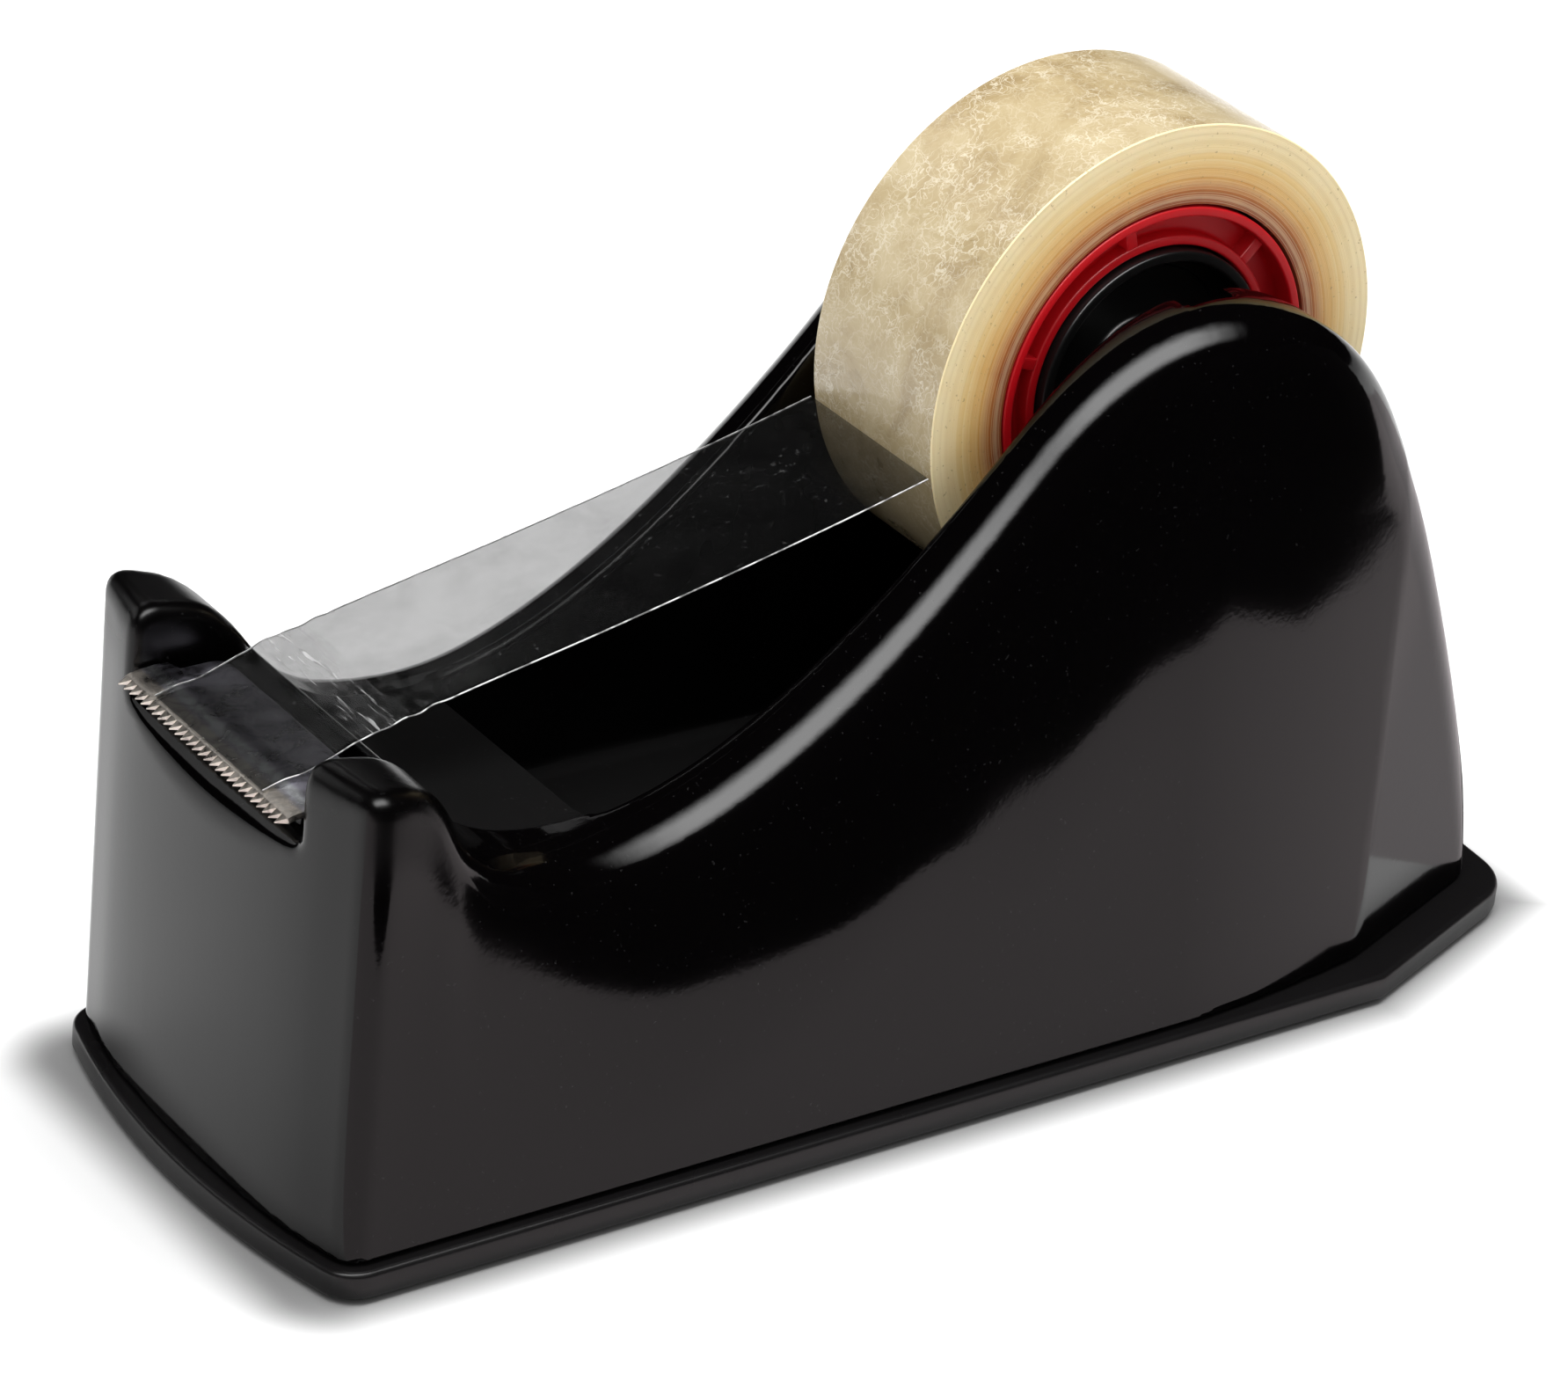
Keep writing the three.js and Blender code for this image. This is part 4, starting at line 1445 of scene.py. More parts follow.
@dataclass
class Underside:
    """The base plate with its feet, screws and the two cast ballast blocks."""

    bottom: float = 0.4
    top: float = 3.3
    ballast_bottom: float = 3.6
    edge: float = 0.6
    lip_inset: float = 5.2
    lip_thickness: float = 1.4
    lip_height: float = 2.0
    boss_room: float = 3.5
    head_room: float = 3.2
    head_room_top: float = 2.3
    shank_room: float = 1.5
    foot_room: float = 4.3
    foot_room_top: float = 1.8
    ballast_half_width: float = 17.8
    ballast_edge: float = 1.2
    ballast_corner: float = 3.0
    front_ballast: Place = (-57.4, -43.0, 32.0)
    rear_ballast: Place = (-38.0, 49.0, 21.5)
    foot_radius: float = 4.0
    foot_top: float = 1.5
    screw_head: float = 2.9
    screw_head_base: float = 0.7
    screw_head_top: float = 2.0
    screw_shank: float = 1.2
    screw_tip: float = 13.0
    thread_turns: int = 18
    thread_depth: float = 0.28

    def plate(self, finish: MouldedPlastic) -> None:
        """The base plate with its rounded rim, locating lip and recesses."""
        material = finish.material()
        rim = quarter(self.edge)
        levels = [(PLAN.outline(i), self.bottom + self.edge - h) for i, h in rim[::-1]]
        levels += [(PLAN.outline(i), self.top - self.edge + h) for i, h in rim]
        inner = self.lip_inset + self.lip_thickness
        levels += [
            (PLAN.outline(self.lip_inset), self.top),
            (PLAN.outline(self.lip_inset + 0.1), self.top + self.lip_height),
            (PLAN.outline(inner - 0.1), self.top + self.lip_height),
            (PLAN.outline(inner), self.top),
        ]
        points, faces = loft(levels)
        piece = make_piece("base_plate_moulding", points, faces, material)
        recalculate(piece)
        tools = []
        for index, place in enumerate(BOSS_PLACES + BALLAST_SCREW_PLACES):
            tools.append(self.drill(index, place, self.head_room, -1, self.head_room_top))
            tools.append(self.drill(index, place, self.shank_room, -1, 9))
            if place in BOSS_PLACES:
                tools.append(self.drill(index, place, self.boss_room, self.top + 0.01, 9))
        for index, place in enumerate(FOOT_PLACES):
            tools.append(self.drill(index, place, self.foot_room, -1, self.foot_room_top))
        carve(piece, tools)
        piece.data.materials.clear()
        piece.data.materials.append(material)
        crease(piece)
        hand_over(piece, Body.STAND, "satin_black", "base_plate")

    def drill(self, index: int, place: Pair, radius: float, low: float, high: float) -> Thing:
        """A cutting cylinder.

        Args:
            index: the number in its name.
            place: its axis's x and y.
            radius: its radius.
            low: height of its lower end.
            high: height of its upper end.

        Returns:
            The cylinder.
        """
        steps = [(0, low), (radius, low), (radius, high), (0, high)]
        return upright(f"tool_{index}", place, steps, 32, bpy.data.materials[0])

    def ballast(self, name: str, size: Place, hole: Pair, finish: CastMetal) -> None:
        """One cast block with rounded edges and a screw hole.

        Args:
            name: the model's node that it stands for.
            size: where it starts and ends along X, and its top.
            hole: the screw's x and y.
            finish: its finish.
        """
        low, high, top = size

        def outline(inset: float) -> Array:
            """The block's outline, moved in."""
            half = self.ballast_half_width - inset
            corner = max(self.ballast_corner - inset, 0.5)
            a, b = low + inset, high - inset
            places = [(a, half), (a, -half), (b, -half), (b, half)]
            return rounded([(x, y, corner) for x, y in places], 6)

        rim = quarter(self.ballast_edge)
        levels = [(outline(i), self.ballast_bottom + self.ballast_edge - h) for i, h in rim[::-1]]
        levels += [(outline(i), top - self.ballast_edge + h) for i, h in rim]
        points, faces = loft(levels)
        material = finish.material()
        piece = make_piece(name + "_casting", points, faces, material)
        recalculate(piece)
        carve(piece, [self.drill(0, hole, self.shank_room, -1, self.screw_tip + 1)])
        piece.data.materials.clear()
        piece.data.materials.append(material)
        crease(piece)
        hand_over(piece, Body.STAND, "cast_iron", name)

    def screws(self, finish: PressedSteel) -> None:
        """Six screws: a pan head with a cross recess and a threaded shank."""
        material = finish.material()
        base, head_top = self.screw_head_base, self.screw_head_top
        steps: list[Pair] = [(0, base)]
        steps += [(self.screw_head - 0.5 + 0.5 * math.sin(t), base + 0.5 - 0.5 * math.cos(t))
                  for t in np.linspace(0, math.pi / 2, 5)]
        steps += [(self.screw_head, head_top), (self.screw_shank, head_top)]
        root = self.screw_shank - self.thread_depth
        for turn in range(self.thread_turns):
            z = head_top + 0.4 + turn * (self.screw_tip - head_top - 1.6) / self.thread_turns
            steps += [(root, z), (self.screw_shank, z + 0.26)]
        steps += [(root, self.screw_tip - 1), (0, self.screw_tip)]
        shape = upright("screw_shape", (0, 0), steps, 28, material)
        carve(shape, [self.cross(0.3, 1.7), self.cross(1.7, 0.3)])
        crease(shape)
        places = [(x, y, 0) for x, y in BOSS_PLACES + BALLAST_SCREW_PLACES]
        repeat = Repeat("screw_places")
        turn = repeat.named("Head turn", "Float", 0.6)
        index = repeat.add("GeometryNodeInputIndex").outputs[0]
        angle = repeat.maths("MULTIPLY", index, turn)
        repeat.finish(shape, repeat.entry.outputs["Geometry"], repeat.vector(0.0, 0.0, angle), material)
        piece = repeat.run("base_screws", np.array(places), shape)
        nodes = [f"base_screw_{k}" for k in (1, 2, 3, 4)] + ["ballast_screw_1", "ballast_screw_2"]
        hand_over(piece, Body.STAND, "screw_steel", *nodes)

    def cross(self, half_x: float, half_y: float) -> Thing:
        """One bar of the cross recess's cutter."""
        ring = np.array([(-half_x, -half_y), (half_x, -half_y), (half_x, half_y), (-half_x, half_y)])
        points, faces = loft([(ring, 0.0), (ring, self.screw_head_base + 0.8)])
        tool = make_piece("cross_tool", points, faces, bpy.data.materials[0])
        recalculate(tool)
        return tool

    def feet(self, finish: Rubber) -> None:
        """Four domed rubber buttons."""
        material = finish.material()
        edge = 0.5
        steps: list[Pair] = [(0, 0.0)]
        steps += [(self.foot_radius - edge + edge * math.sin(t), edge - edge * math.cos(t))
                  for t in np.linspace(0, math.pi / 2, 7)]
        steps += [(self.foot_radius, self.foot_top - 0.15)]
        steps += [(self.foot_radius - 0.15, self.foot_top), (0, self.foot_top)]
        shape = upright("foot_shape", (0, 0), steps, 48, material)
        crease(shape, 40)
        places = np.array([(x, y, 0) for x, y in FOOT_PLACES])
        repeat = Repeat("foot_places")
        height = repeat.named("Lift", "Float", 0.0)
        moved = repeat.add(
            "GeometryNodeSetPosition",
            Geometry=repeat.entry.outputs["Geometry"],
            Offset=repeat.vector(0.0, 0.0, height),
        )
        repeat.finish(shape, moved.outputs[0], (0.0, 0.0, 0.0), material)
        piece = repeat.run("rubber_feet", places, shape)
        hand_over(piece, Body.STAND, "foot_rubber", "foot_1", "foot_2", "foot_3", "foot_4")

    def build(self) -> None:
        """Make every piece of the underside."""
        self.plate(SATIN_BLACK)
        front_hole, rear_hole = BALLAST_SCREW_PLACES
        self.ballast("ballast_front", self.front_ballast, front_hole, BALLAST_IRON)
        self.ballast("ballast_rear", self.rear_ballast, rear_hole, BALLAST_IRON)
        self.screws(SCREW_STEEL)
        self.feet(FOOT_RUBBER)


# ---- Blade and film ----


def thick_sheet(top: Array, thickness: float, bulge: float) -> tuple[Array, list]:
    """Close a grid of points into a sheet with softened edges.

    Args:
        top: rows by columns by 3 places of its upper face.
        thickness: how far its lower face lies below, square to the face.
        bulge: how far the middle of its edge stands out.

    Returns:
        Points and faces.
    """
    rows, columns = top.shape[:2]
    along = np.gradient(top, axis=0)
    across = np.gradient(top, axis=1)
    normal = np.cross(along, across)
    normal /= np.linalg.norm(normal, axis=2, keepdims=True)
    normal *= np.sign(normal[..., 2:].sum() or 1)
    low = top - normal * thickness
    rim = [(0, c) for c in range(columns - 1)]
    rim += [(r, columns - 1) for r in range(rows - 1)]
    rim += [(rows - 1, c) for c in range(columns - 1, 0, -1)]
    rim += [(r, 0) for r in range(rows - 1, 0, -1)]
    middle = np.array([(top[r, c] + low[r, c]) / 2 for r, c in rim])
    inner = np.array([
        (top + low)[min(max(r, 1), rows - 2), min(max(c, 1), columns - 2)] / 2 for r, c in rim
    ])
    out = middle - inner
    middle = middle + bulge * out / np.linalg.norm(out, axis=1, keepdims=True)
    count = rows * columns
    points = np.concatenate([top.reshape(-1, 3), low.reshape(-1, 3), middle])
    faces = []
    for r in range(rows - 1):
        for c in range(columns - 1):
            a = r * columns + c
            quad = [a, a + 1, a + columns + 1, a + columns]
            faces.append(quad)
            faces.append([count + k for k in quad[::-1]])
    for k, (r, c) in enumerate(rim):
        after = (k + 1) % len(rim)
        a = r * columns + c
        b = rim[after][0] * columns + rim[after][1]
        faces.append([a, 2 * count + k, 2 * count + after, b])
        faces.append([2 * count + k, count + a, count + b, 2 * count + after])
    return points, faces


def smooth_path(corners: Sequence[Pair], step: float) -> Array:
    """Points a step apart on a soft curve through given points."""
    knots = np.array(corners, float)
    lengths = np.concatenate([[0], np.cumsum(np.linalg.norm(np.diff(knots, axis=0), axis=1))])
    slopes = np.gradient(knots, lengths, axis=0)
    places = np.linspace(0, lengths[-1], max(2, round(lengths[-1] / step)))
    spans = np.clip(np.searchsorted(lengths, places, side="right") - 1, 0, len(knots) - 2)
    h = (lengths[spans + 1] - lengths[spans])[:, None]
    t = ((places - lengths[spans])[:, None]) / h
    return (
        (2 * t**3 - 3 * t**2 + 1) * knots[spans]
        + (t**3 - 2 * t**2 + t) * h * slopes[spans]
        + (3 * t**2 - 2 * t**3) * knots[spans + 1]
        + (t**3 - t**2) * h * slopes[spans + 1]
    )


@dataclass
class Blade:
    """The pressed steel cutter: a landing, a bend and a toothed front flange."""

    thickness: float = 0.6
    landing_top: float = 45.4
    landing_rear: float = -62.4
    landing_half_width: float = 12.8
    landing_corner: float = 2.0
    skirt: float = 1.3
    bend: float = -69.6
    bend_radius: float = 0.8
    ear_start: float = -67.5
    droop: float = 0.22
    droop_start: float = 11.2
    half_width: float = 14.3
    flange_edge: Pair = (-71.7, 44.98)
    tooth_root: Pair = (-72.0, 44.82)
    tooth_tip: Pair = (-72.85, 44.3)
    tooth_count: int = 28
    tooth_slant: float = 0.3

    def profile(self) -> Array:
        """Upper face seen from the side, from the back skirt to the tooth roots."""
        top = self.landing_top
        corners = [
            (self.landing_rear + 0.02, top - self.skirt - self.thickness),
            (self.landing_rear, top - 0.5),
            (self.landing_rear - 0.45, top),
            (self.bend + self.bend_radius, top),
            (self.bend - self.bend_radius * 0.8, top - 0.25),
            self.flange_edge,
            self.tooth_root,
        ]
        path = [np.array(corners[0])]
        for a, b in zip(corners, corners[1:]):
            a, b = np.array(a), np.array(b)
            count = max(2, round(float(np.linalg.norm(b - a)) / 0.22))
            path += [a + (b - a) * k / count for k in range(1, count + 1)]
        soft = np.array(path)
        for _ in range(5):
            soft[1:-1] = 0.25 * soft[:-2] + 0.5 * soft[1:-1] + 0.25 * soft[2:]
        return soft

    def half_width_at(self, x: Array) -> Array:
        """Half the sheet's width at each place of the profile."""
        ears = 1 - smooth_step(x, self.ear_start - 0.2, self.ear_start + 0.2)
        wide = self.landing_half_width + (self.half_width - self.landing_half_width) * ears
        corner = self.landing_corner
        near = np.clip(corner - (self.landing_rear - x), 0, corner)
        return wide - (corner - np.sqrt(np.maximum(corner**2 - near**2, 0)))

    def sheet(self, material: Material) -> Thing:
        """The bent sheet."""
        side = self.profile()
        half = self.half_width_at(side[:, 0])
        share = np.linspace(-1, 1, 41)
        y = half[:, None] * share[None, :]
        droop = self.droop * smooth_step(np.abs(y), self.droop_start, self.landing_half_width)
        droop = droop * (1 - smooth_step(-side[:, :1], -self.ear_start, 0.8 - self.bend))
        top = np.stack(
            [np.broadcast_to(side[:, :1], y.shape), y, side[:, 1:] - droop], axis=2
        )
        points, faces = thick_sheet(top, self.thickness, 0.12)
        piece = make_piece("blade_sheet", points, faces, material)
        recalculate(piece)
        crease(piece, 40)
        return piece

    def tooth(self, material: Material) -> Thing:
        """One slanted tooth: a thin wedge with a bevelled face."""
        pitch = 2 * self.half_width / self.tooth_count
        root_x, root_z = self.tooth_root
        tip_x, tip_z = self.tooth_tip
        under = 0.5
        rise = 0.12
        points = np.array([
            (root_x + 0.1, -pitch / 2, root_z + 0.02),
            (root_x + 0.1, pitch / 2, root_z + 0.02),
            (root_x + 0.1, pitch / 2, root_z - under),
            (root_x + 0.1, -pitch / 2, root_z - under),
            (root_x, self.tooth_slant * 0.4, root_z + rise),
            (tip_x, self.tooth_slant, tip_z),
            (tip_x + 0.05, self.tooth_slant, tip_z - 0.12),
        ])
        faces = [(0, 3, 2, 1), (0, 1, 4), (0, 4, 5), (1, 5, 4), (1, 2, 6, 5), (0, 5, 6, 3), (2, 3, 6)]
        piece = make_piece("tooth_shape", points, faces, material)
        recalculate(piece)
        crease(piece, 20)
        return piece

    def build(self, finish: PressedSteel) -> None:
        """Make the sheet and its row of teeth."""
        material = finish.material()
        piece = self.sheet(material)
        hand_over(piece, Body.STAND, "blade_steel", "cutting_blade")
        shape = self.tooth(material)
        repeat = Repeat("tooth_row")
        count = repeat.named("Teeth", "Int", self.tooth_count)
        width = repeat.named("Row width", "Float", 2 * self.half_width * MM)
        index = repeat.add("GeometryNodeInputIndex").outputs[0]
        pitch = repeat.maths("DIVIDE", width, count)
        middle = repeat.maths("ADD", index, 0.5)
        shift = repeat.maths("SUBTRACT", repeat.maths("MULTIPLY", middle, pitch),
                             repeat.maths("MULTIPLY", width, 0.5))
        row = repeat.add("GeometryNodeMeshLine", Count=count, Offset=(0.0, 0.0, 0.0))
        placed = repeat.add(
            "GeometryNodeSetPosition", Geometry=row.outputs[0], Offset=repeat.vector(0.0, shift, 0.0)
        )
        repeat.finish(shape, placed.outputs[0], (0.0, 0.0, 0.0), material)
        teeth = repeat.run("blade_teeth", np.zeros((1, 3)), shape)
        hand_over(teeth, Body.STAND, "blade_steel")


@dataclass
class FilmLead:
    """The end of the tape, drawn off the roll and laid over the blade."""

    half_width: float = 9.5
    thickness: float = 0.12
    route: tuple[Pair, ...] = (
        (-71.7, 45.16), (-69.4, 45.74), (-67.8, 45.86), (-65.1, 46.7), (-62.6, 47.6),
        (-60.0, 48.35), (-53.8, 49.7), (-35.6, 53.35), (-17.0, 57.45), (-7.5, 59.75),
        (-2.45, 61.05),
    )
    wrinkle: float = 0.16
    wrinkled: Pair = (-64.5, -51.5)
    columns: int = 40

    def build(self, finish: ClearFilm) -> None:
        """Make, unwrap and hand over the film."""
        side = smooth_path(self.route, 0.45)
        share = np.linspace(0, 1, self.columns + 1)
        y = (share * 2 - 1) * self.half_width
        x = side[:, :1]
        low, high = self.wrinkled
        window = smooth_step(x, low, low + 4) * (1 - smooth_step(x, high - 5, high))
        ripple = np.sin(1.15 * x + 0.55 * y) * np.sin(0.62 * y + 0.35 * x + 1.0)
        ripple = ripple + 0.6 * np.sin(2.1 * x - 0.9 * y + 0.6)
        lift = side[:, 1:] + self.wrinkle * window * ripple
        top = np.stack([np.broadcast_to(x, lift.shape), np.broadcast_to(y, lift.shape), lift], axis=2)
        points, faces = thick_sheet(top, self.thickness, 0.02)
        piece = make_piece("film_lead", points, faces, finish.material())
        recalculate(piece)
        self.unwrap(piece)
        hand_over(piece, Body.AXLE, "clear_film", "tape_lead")

    def unwrap(self, piece: Thing) -> None:
        """Lay the UV map out with length along U and width across V."""
        layer = piece.data.uv_layers.new(name="film")
        length = (self.route[-1][0] - self.route[0][0]) * MM
        for loop in piece.data.loops:
            place = piece.data.vertices[loop.vertex_index].co
            u = (place.x - self.route[0][0] * MM) / length
            layer.data[loop.index].uv = (u, 0.5 + place.y / (2 * self.half_width * MM))


# ---- Reel ----


def filleted(corners: Sequence[Place], steps: int = 4) -> list[Pair]:
    """A closed lathe profile from (radius, y, rounding) corners."""
    return [tuple(point) for point in rounded(corners, steps)]


@dataclass
class Reel:
    """The wound roll on its ribbed core, the two hub halves and the axle."""

    centre: Place = REEL_CENTRE
    half_width: float = 9.5
    roll_inner: float = 17.6
    roll_outer: float = 25.48
    face_steps: int = 40
    core_outer: float = 17.3
    core_bore: float = 13.08
    core_ring: float = 0.95
    core_web: float = 13.6
    core_recess: float = 1.0
    rib_count: int = 6
    rib_thickness: float = 1.2
    hub_radius: float = 12.78
    hub_rim: float = 1.1
    hub_boss: float = 4.8
    hub_recess: float = 3.4
    hub_web: float = 1.6
    hub_inner: float = 0.15
    hub_outer: float = 9.3
    axle_radius: float = 2.4
    axle_half_length: float = 15.6
    axle_chamfer: float = 0.5

    def centre_metres(self) -> tuple[float, float, float]:
        """The reel's middle in metres."""
        return tuple(c * MM for c in self.centre)

    def roll(self) -> None:
        """The wound tape, its faces stepped turn by turn."""
        half = self.half_width
        face = []
        for turn in range(self.face_steps + 1):
            share = turn / self.face_steps
            radius = self.roll_inner + (self.roll_outer - 0.12 - self.roll_inner) * share
            dip = 0.04 + 0.02 * math.sin(turn * 2.4) * math.sin(turn * 0.9 + 1)
            face.append((radius, half - dip))
        edge = [(self.roll_outer - 0.12, half - 0.02), (self.roll_outer, half - 0.14)]
        middle = [(self.roll_outer, y) for y in np.linspace(half - 2, 2 - half, 7)]
        far = [(r, -y) for r, y in (face + edge)[::-1]]
        points, faces = lathe(face + edge + middle + far, 256, self.centre)
        side = RolledTapeFace("wound_tape_face", self.centre_metres(), self.roll_inner * MM,
                              self.roll_outer * MM).material()
        piece = make_piece("wound_roll", points, faces, side)
        piece.data.materials.append(RolledTapeOuter("wound_tape_outside").material())
        recalculate(piece)
        limit = (self.roll_outer - 0.05) * MM
        middle_point = Vector(self.centre_metres())
        for polygon in piece.data.polygons:
            place = polygon.center - middle_point
            if math.hypot(place.x, place.z) > limit:
                polygon.material_index = 1
        crease(piece, 40)
        hand_over(piece, Body.REEL, "wound_tape", "tape_roll")

    def core(self, finish: MouldedPlastic) -> None:
        """The moulded core: two rings, a middle web and radial ribs."""
        material = finish.material()
        half = self.half_width
        low = half - self.core_recess
        web = self.core_web / 2
        inner, outer = self.core_bore, self.core_outer
        wall_in, wall_out = inner + self.core_ring, outer - self.core_ring
        soft = 0.22
        profile = filleted([
            (inner, -low, soft), (wall_in, -low, soft), (wall_in, -web, 0.4), (wall_out, -web, 0.4),
            (wall_out, -half, soft), (outer, -half, soft), (outer, half, soft), (wall_out, half, soft),
            (wall_out, web, 0.4), (wall_in, web, 0.4), (wall_in, low, soft), (inner, low, soft),
        ])
        points, faces = lathe(profile, 192, self.centre)
        piece = make_piece("core_rings", points, faces, material)
        recalculate(piece)
        crease(piece, 50)
        hand_over(piece, Body.REEL, "red_plastic", "tape_core")
        self.ribs(material)

    def ribs(self, material: Material) -> None:
        """Radial ribs between the core's rings, on both sides of its web."""
        reach = (self.core_outer - self.core_bore) / 2 - self.core_ring + 0.1
        middle = (self.core_outer + self.core_bore) / 2
        depth = self.half_width - self.core_recess
        half = self.rib_thickness / 2
        outline = rounded([
            (-reach, -half, 0), (reach, -half, 0), (reach, half, 0), (-reach, half, 0)
        ])
        rim = quarter(0.2, 3)
        levels = [(self.shrunk(outline, i), -depth + 0.2 - h) for i, h in rim[::-1]]
        levels += [(self.shrunk(outline, i), depth - 0.2 + h) for i, h in rim]
        points, faces = loft(levels)
        points = np.column_stack([points[:, 0] + middle, points[:, 2], points[:, 1]])
        shape = make_piece("rib_shape", points, faces, material)
        recalculate(shape)
        crease(shape, 40)
        repeat = Repeat("rib_ring")
        count = repeat.named("Ribs", "Int", self.rib_count)
        start = repeat.named("First angle", "Float", math.pi / 12)
        index = repeat.add("GeometryNodeInputIndex").outputs[0]
        turn = repeat.maths("DIVIDE", 2 * math.pi, count)
        angle = repeat.maths("ADD", repeat.maths("MULTIPLY", index, turn), start)
        ring = repeat.add("GeometryNodeMeshLine", Count=count, Offset=(0.0, 0.0, 0.0))
        placed = repeat.add("GeometryNodeSetPosition", Geometry=ring.outputs[0],
                            Offset=self.centre_metres())
        repeat.finish(shape, placed.outputs[0], repeat.vector(0.0, angle, 0.0), material)
        piece = repeat.run("core_ribs", np.zeros((1, 3)), shape)
        hand_over(piece, Body.REEL, "red_plastic")

    def shrunk(self, outline: Array, inset: float) -> Array:
        """A small four-sided outline moved in by an inset."""
        return outline - np.sign(outline) * inset

    def hub(self, side: int, name: str, node: str, finish: MouldedPlastic) -> None:
        """One hub half: a rim, a dished disc with a shallow step and a boss.

        Args:
            side: -1 for the near half and 1 for the far one.
            name: the piece's name.
            node: the model's node that it replaces.
            finish: its finish.
        """
        inner, outer = self.hub_inner, self.hub_outer
        bore = self.axle_radius + 0.3
        rim = self.hub_radius - self.hub_rim
        disc = outer - self.hub_recess
        back = disc - self.hub_web
        step = 0.35
        profile = filleted([
            (bore, inner, 0), (self.hub_boss, inner, 0.2), (self.hub_boss, back, 0.4),
            (rim, back, 0.4), (rim, inner, 0.2), (self.hub_radius, inner, 0.2),
            (self.hub_radius, outer, 0.3), (rim, outer, 0.3), (rim, disc + step, 0.5),
            (rim - 1.5, disc + step, 0.3), (rim - 1.5, disc, 0.3),
            (self.hub_boss, disc, 0.6), (self.hub_boss, outer, 0.4), (bore, outer, 0.15),
        ])
        profile = [(radius, side * y) for radius, y in profile]
        points, faces = lathe(profile, 160, self.centre)
        piece = make_piece(name, points, faces, finish.material())
        recalculate(piece)
        crease(piece, 50)
        hand_over(piece, Body.REEL, "hub_black", node)

    def axle(self, finish: MouldedPlastic) -> None:
        """The moulded rod that the hub turns on."""
        radius, half, chamfer = self.axle_radius, self.axle_half_length, self.axle_chamfer
        turns = np.linspace(0, math.pi / 2, 6)
        end = [(radius - chamfer + chamfer * math.sin(t), half - chamfer + chamfer * math.cos(t))
               for t in turns]
        profile = [(0, half)] + end + [(r, -y) for r, y in end[::-1]] + [(0, -half)]
        points, faces = lathe(profile, 64, self.centre)
        piece = make_piece("axle_bar", points, faces, finish.material())
        recalculate(piece)
        crease(piece, 40)
        hand_over(piece, Body.AXLE, "hub_black", "axle_rod")

    def build(self) -> None:
        """Make the whole reel."""
        self.roll()
        self.core(CORE_RED)
        self.hub(-1, "hub_near", "hub_half_near", HUB_BLACK)
        self.hub(1, "hub_far", "hub_half_far", HUB_BLACK)
        self.axle(HUB_BLACK)


# ---- Studio ----


@dataclass(frozen=True)
class Card:
    """A flat card that only reflections see, in millimetres.

    Attributes:
        name: its name.
        low: its first lower corner.
        high: the opposite corner; at the same height, the card lies flat.
        shade: its colour.
    """

    name: str
    low: Place
    high: Place
    shade: Colour

    def corners(self) -> Array:
        """Its four corners in order."""
        (x, y, z), (to_x, to_y, to_z) = self.low, self.high
        if z == to_z:
            return np.array([(x, y, z), (to_x, y, z), (to_x, to_y, z), (x, to_y, z)], float)
        return np.array([(x, y, z), (to_x, to_y, z), (to_x, to_y, to_z), (x, y, to_z)], float)


@dataclass(frozen=True)
class Panel:
    """A glowing panel that looks down, bright in its middle and soft at its edges.

    Attributes:
        name: its name.
        place: its middle, in millimetres.
        size: its length along X and width along Y, in millimetres.
        strength: how bright its middle is.
        mirrored: True if it only shows in reflections, False if it only lights.
        even: share of its half size that is evenly bright.
    """

    name: str
    place: Place
    size: Pair
    strength: float
    mirrored: bool
    even: float = 0.25


OVERHEAD = Panel("overhead", (0, -60, 720), (1700, 470), 9.5, mirrored=False)
LONG_PANEL = Panel("long_panel", (-230, -380, 721), (1500, 580), 12.5, mirrored=True)
CARDS = (
    Card("blade_glow", (-95, 150, 168), (12, 150, 225), grey(0.8)),
    Card("teeth_glow", (-240, 90, 85), (-140, 190, 185), grey(0.8)),
    Card("landing_glow", (20, 150, 120), (80, 150, 168), grey(0.32)),
    Card("near_floor", (-420, -110, 0.2), (420, -27, 0.2), (0.66, 0.60, 0.61, 1.0)),
    Card("tail_floor", (76, -27, 0.2), (420, 60, 0.2), (0.54, 0.50, 0.51, 1.0)),
)


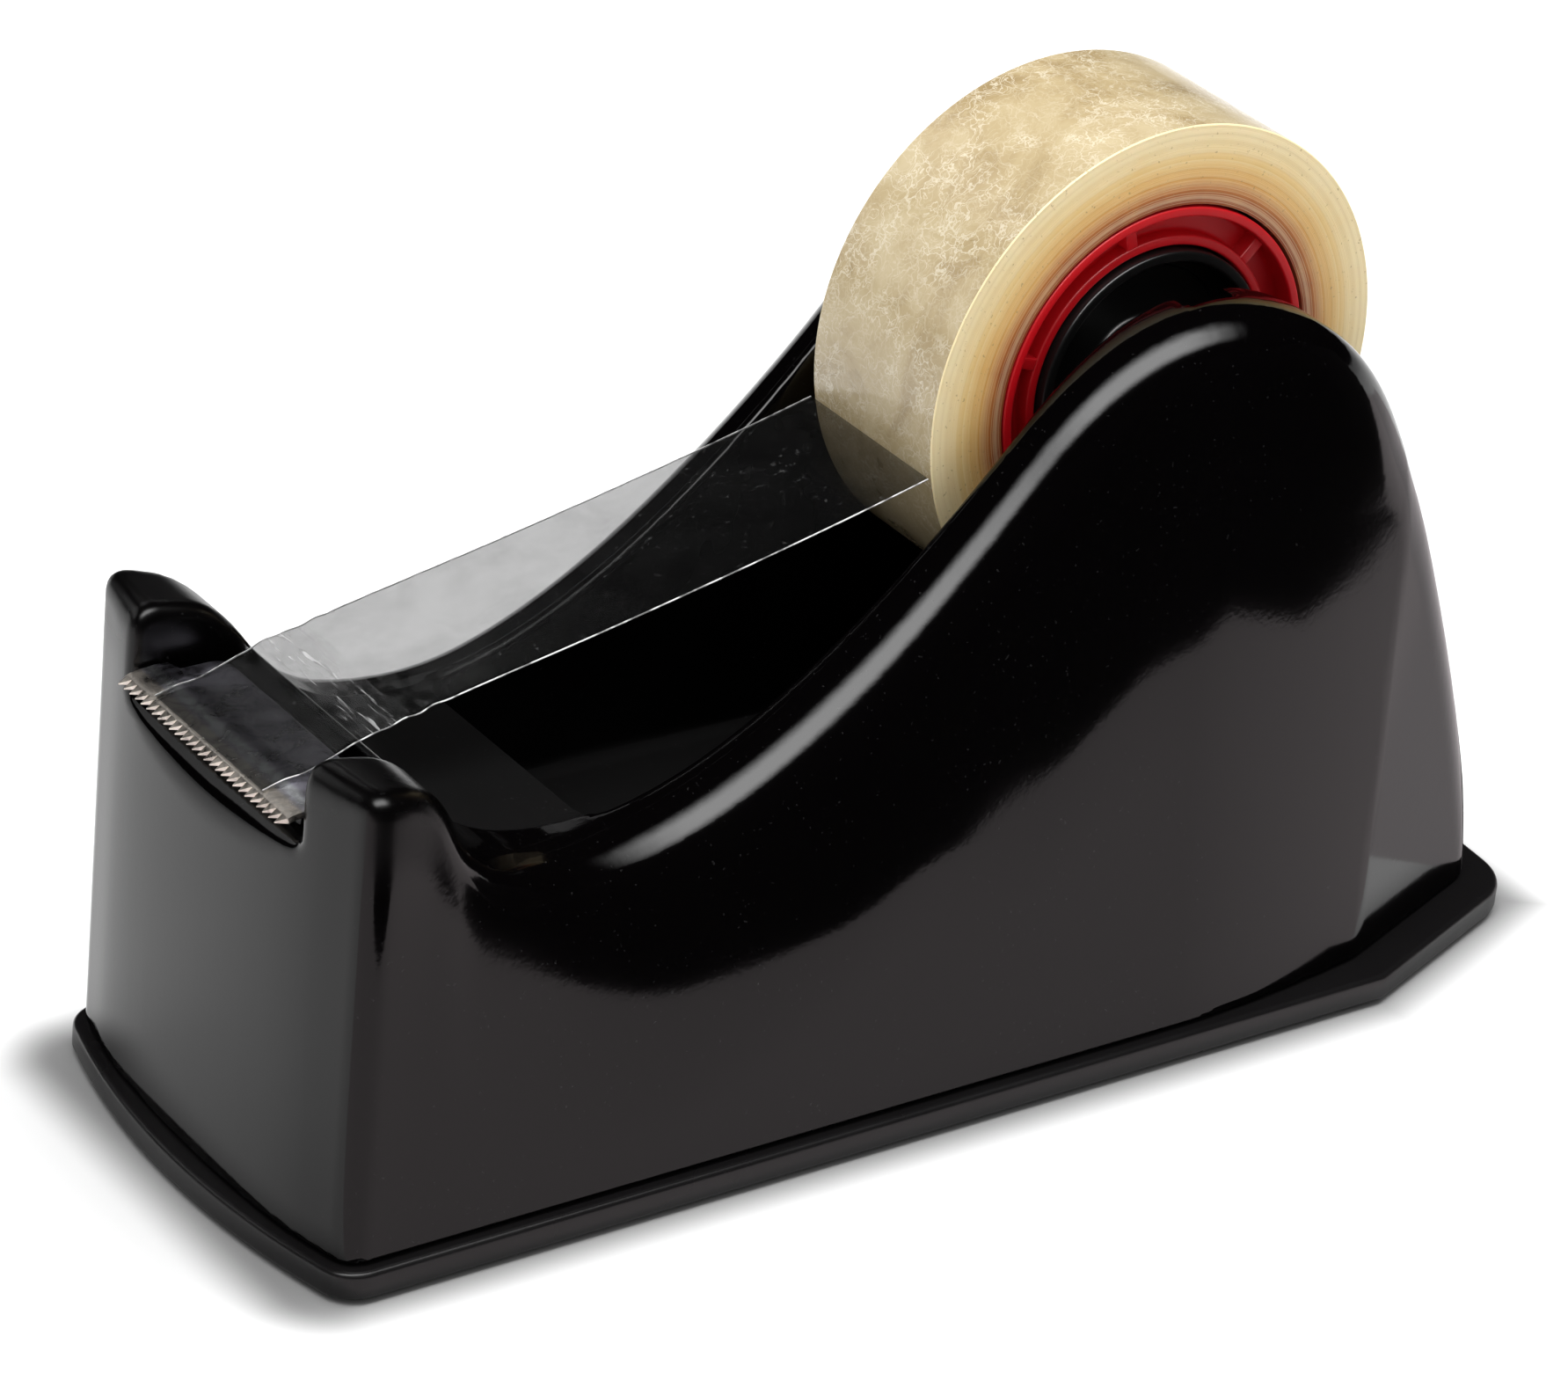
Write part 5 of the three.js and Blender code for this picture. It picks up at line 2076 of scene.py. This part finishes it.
@dataclass
class Studio:
    """Pale floor, even room, soft panels, cards that only reflections see, and the camera."""

    floor_size: float = 6.0
    room: float = 0.64
    camera_place: Place = (-0.31915, -0.41022, 0.30991)
    camera_aim: Place = (-0.0071, 0.00295, 0.03438)
    camera_roll: float = math.radians(5.747)
    lens: float = 142.65
    sensor: float = 36.0
    screen_shade: float = 0.003
    screen_bottom: float = 0.3
    screen_top: float = 110.0
    screen_foot: tuple[Pair, ...] = (
        (-400, -84), (0, -83), (12, -76), (37, -81), (51, -96), (74, -107), (99, -102),
        (112, -79), (134, -72), (400, -60),
    )

    def floor(self) -> None:
        """A wide floor just under the feet."""
        half = self.floor_size / 2 / MM
        corners = np.array([(-half, -half, 0), (half, -half, 0), (half, half, 0), (-half, half, 0)])
        make_piece("floor", corners, [(0, 1, 2, 3)], TABLE.material())

    def card(self, card: Card) -> None:
        """One of the flat cards."""
        finish = TableTop(card.name, card.shade)
        self.only_mirrored(make_piece(card.name, card.corners(), [(0, 1, 2, 3)], finish.material()))

    def screen(self) -> None:
        """A dark folding screen that stands along the near side, seen by reflections only."""
        foot = np.array(self.screen_foot)
        count = len(foot)
        levels = [np.column_stack([foot, np.full(count, z)]) for z in (self.screen_bottom, self.screen_top)]
        faces = [(k, k + 1, count + k + 1, count + k) for k in range(count - 1)]
        finish = TableTop("dark_screen", grey(self.screen_shade))
        self.only_mirrored(make_piece("dark_screen", np.concatenate(levels), faces, finish.material()))

    def only_mirrored(self, card: Thing) -> None:
        """Let only reflections see a stage object."""
        card.visible_camera = False
        card.visible_shadow = False
        card.visible_diffuse = False

    def softbox(self, panel: Panel) -> None:
        """One of the glowing panels."""
        x, y, z = panel.place
        a, b = panel.size[0] / 2, panel.size[1] / 2
        corners = np.array([(x - a, y - b, z), (x - a, y + b, z), (x + a, y + b, z), (x + a, y - b, z)])
        shader = Shader(panel.name)
        split = shader.axes(shader.place((1, 1, 1), [c * MM for c in panel.place]))
        glow = []
        for axis, half in (("X", a), ("Y", b)):
            away = shader.maths("ABSOLUTE", split.outputs[axis])
            glow.append(shader.remap(away, panel.even * half * MM, half * MM, 1, 0))
        bright = shader.maths("MULTIPLY", shader.maths("MULTIPLY", *glow), panel.strength)
        shader.base(
            Base_Color=grey(0.0),
            Emission_Color=grey(1.0),
            Emission_Strength=bright,
            Specular_IOR_Level=0.0,
        )
        made = make_piece(panel.name, corners, [(0, 1, 2, 3)], shader.material)
        made.visible_camera = False
        made.visible_glossy = panel.mirrored
        made.visible_diffuse = not panel.mirrored
        made.visible_shadow = not panel.mirrored

    def room_light(self) -> None:
        """An even dim room."""
        world = bpy.data.worlds.new("room")
        world.use_nodes = True
        background = world.node_tree.nodes["Background"]
        background.inputs["Color"].default_value = grey(1.0)
        background.inputs["Strength"].default_value = self.room
        world.cycles_visibility.glossy = False
        bpy.context.scene.world = world

    def camera(self) -> None:
        """The camera at the wanted viewing angle."""
        data = bpy.data.cameras.new("camera")
        data.lens = self.lens
        data.sensor_width = self.sensor
        data.clip_start = 0.01
        camera = bpy.data.objects.new("camera", data)
        towards = Vector(self.camera_aim) - Vector(self.camera_place)
        facing = towards.to_track_quat("-Z", "Y").to_matrix()
        turn = facing @ Matrix.Rotation(self.camera_roll, 3, "Z")
        camera.matrix_world = Matrix.Translation(self.camera_place) @ turn.to_4x4()
        bpy.context.scene.collection.objects.link(camera)
        bpy.context.scene.camera = camera

    def build(self) -> None:
        """Set the studio up."""
        self.floor()
        self.room_light()
        for panel in (OVERHEAD, LONG_PANEL):
            self.softbox(panel)
        for card in CARDS:
            self.card(card)
        self.screen()
        self.camera()
        bpy.context.scene.view_settings.view_transform = "Standard"


def main() -> None:
    """Build every piece and set up the studio; each piece's face count is logged."""
    logging.basicConfig(level=logging.INFO, format="%(name)s %(message)s")
    Housing().build(GLOSS_BLACK)
    Underside().build()
    Blade().build(BLADE_STEEL)
    FilmLead().build(FILM)
    Reel().build()
    Studio().build()


if __name__ == "__main__":
    main()
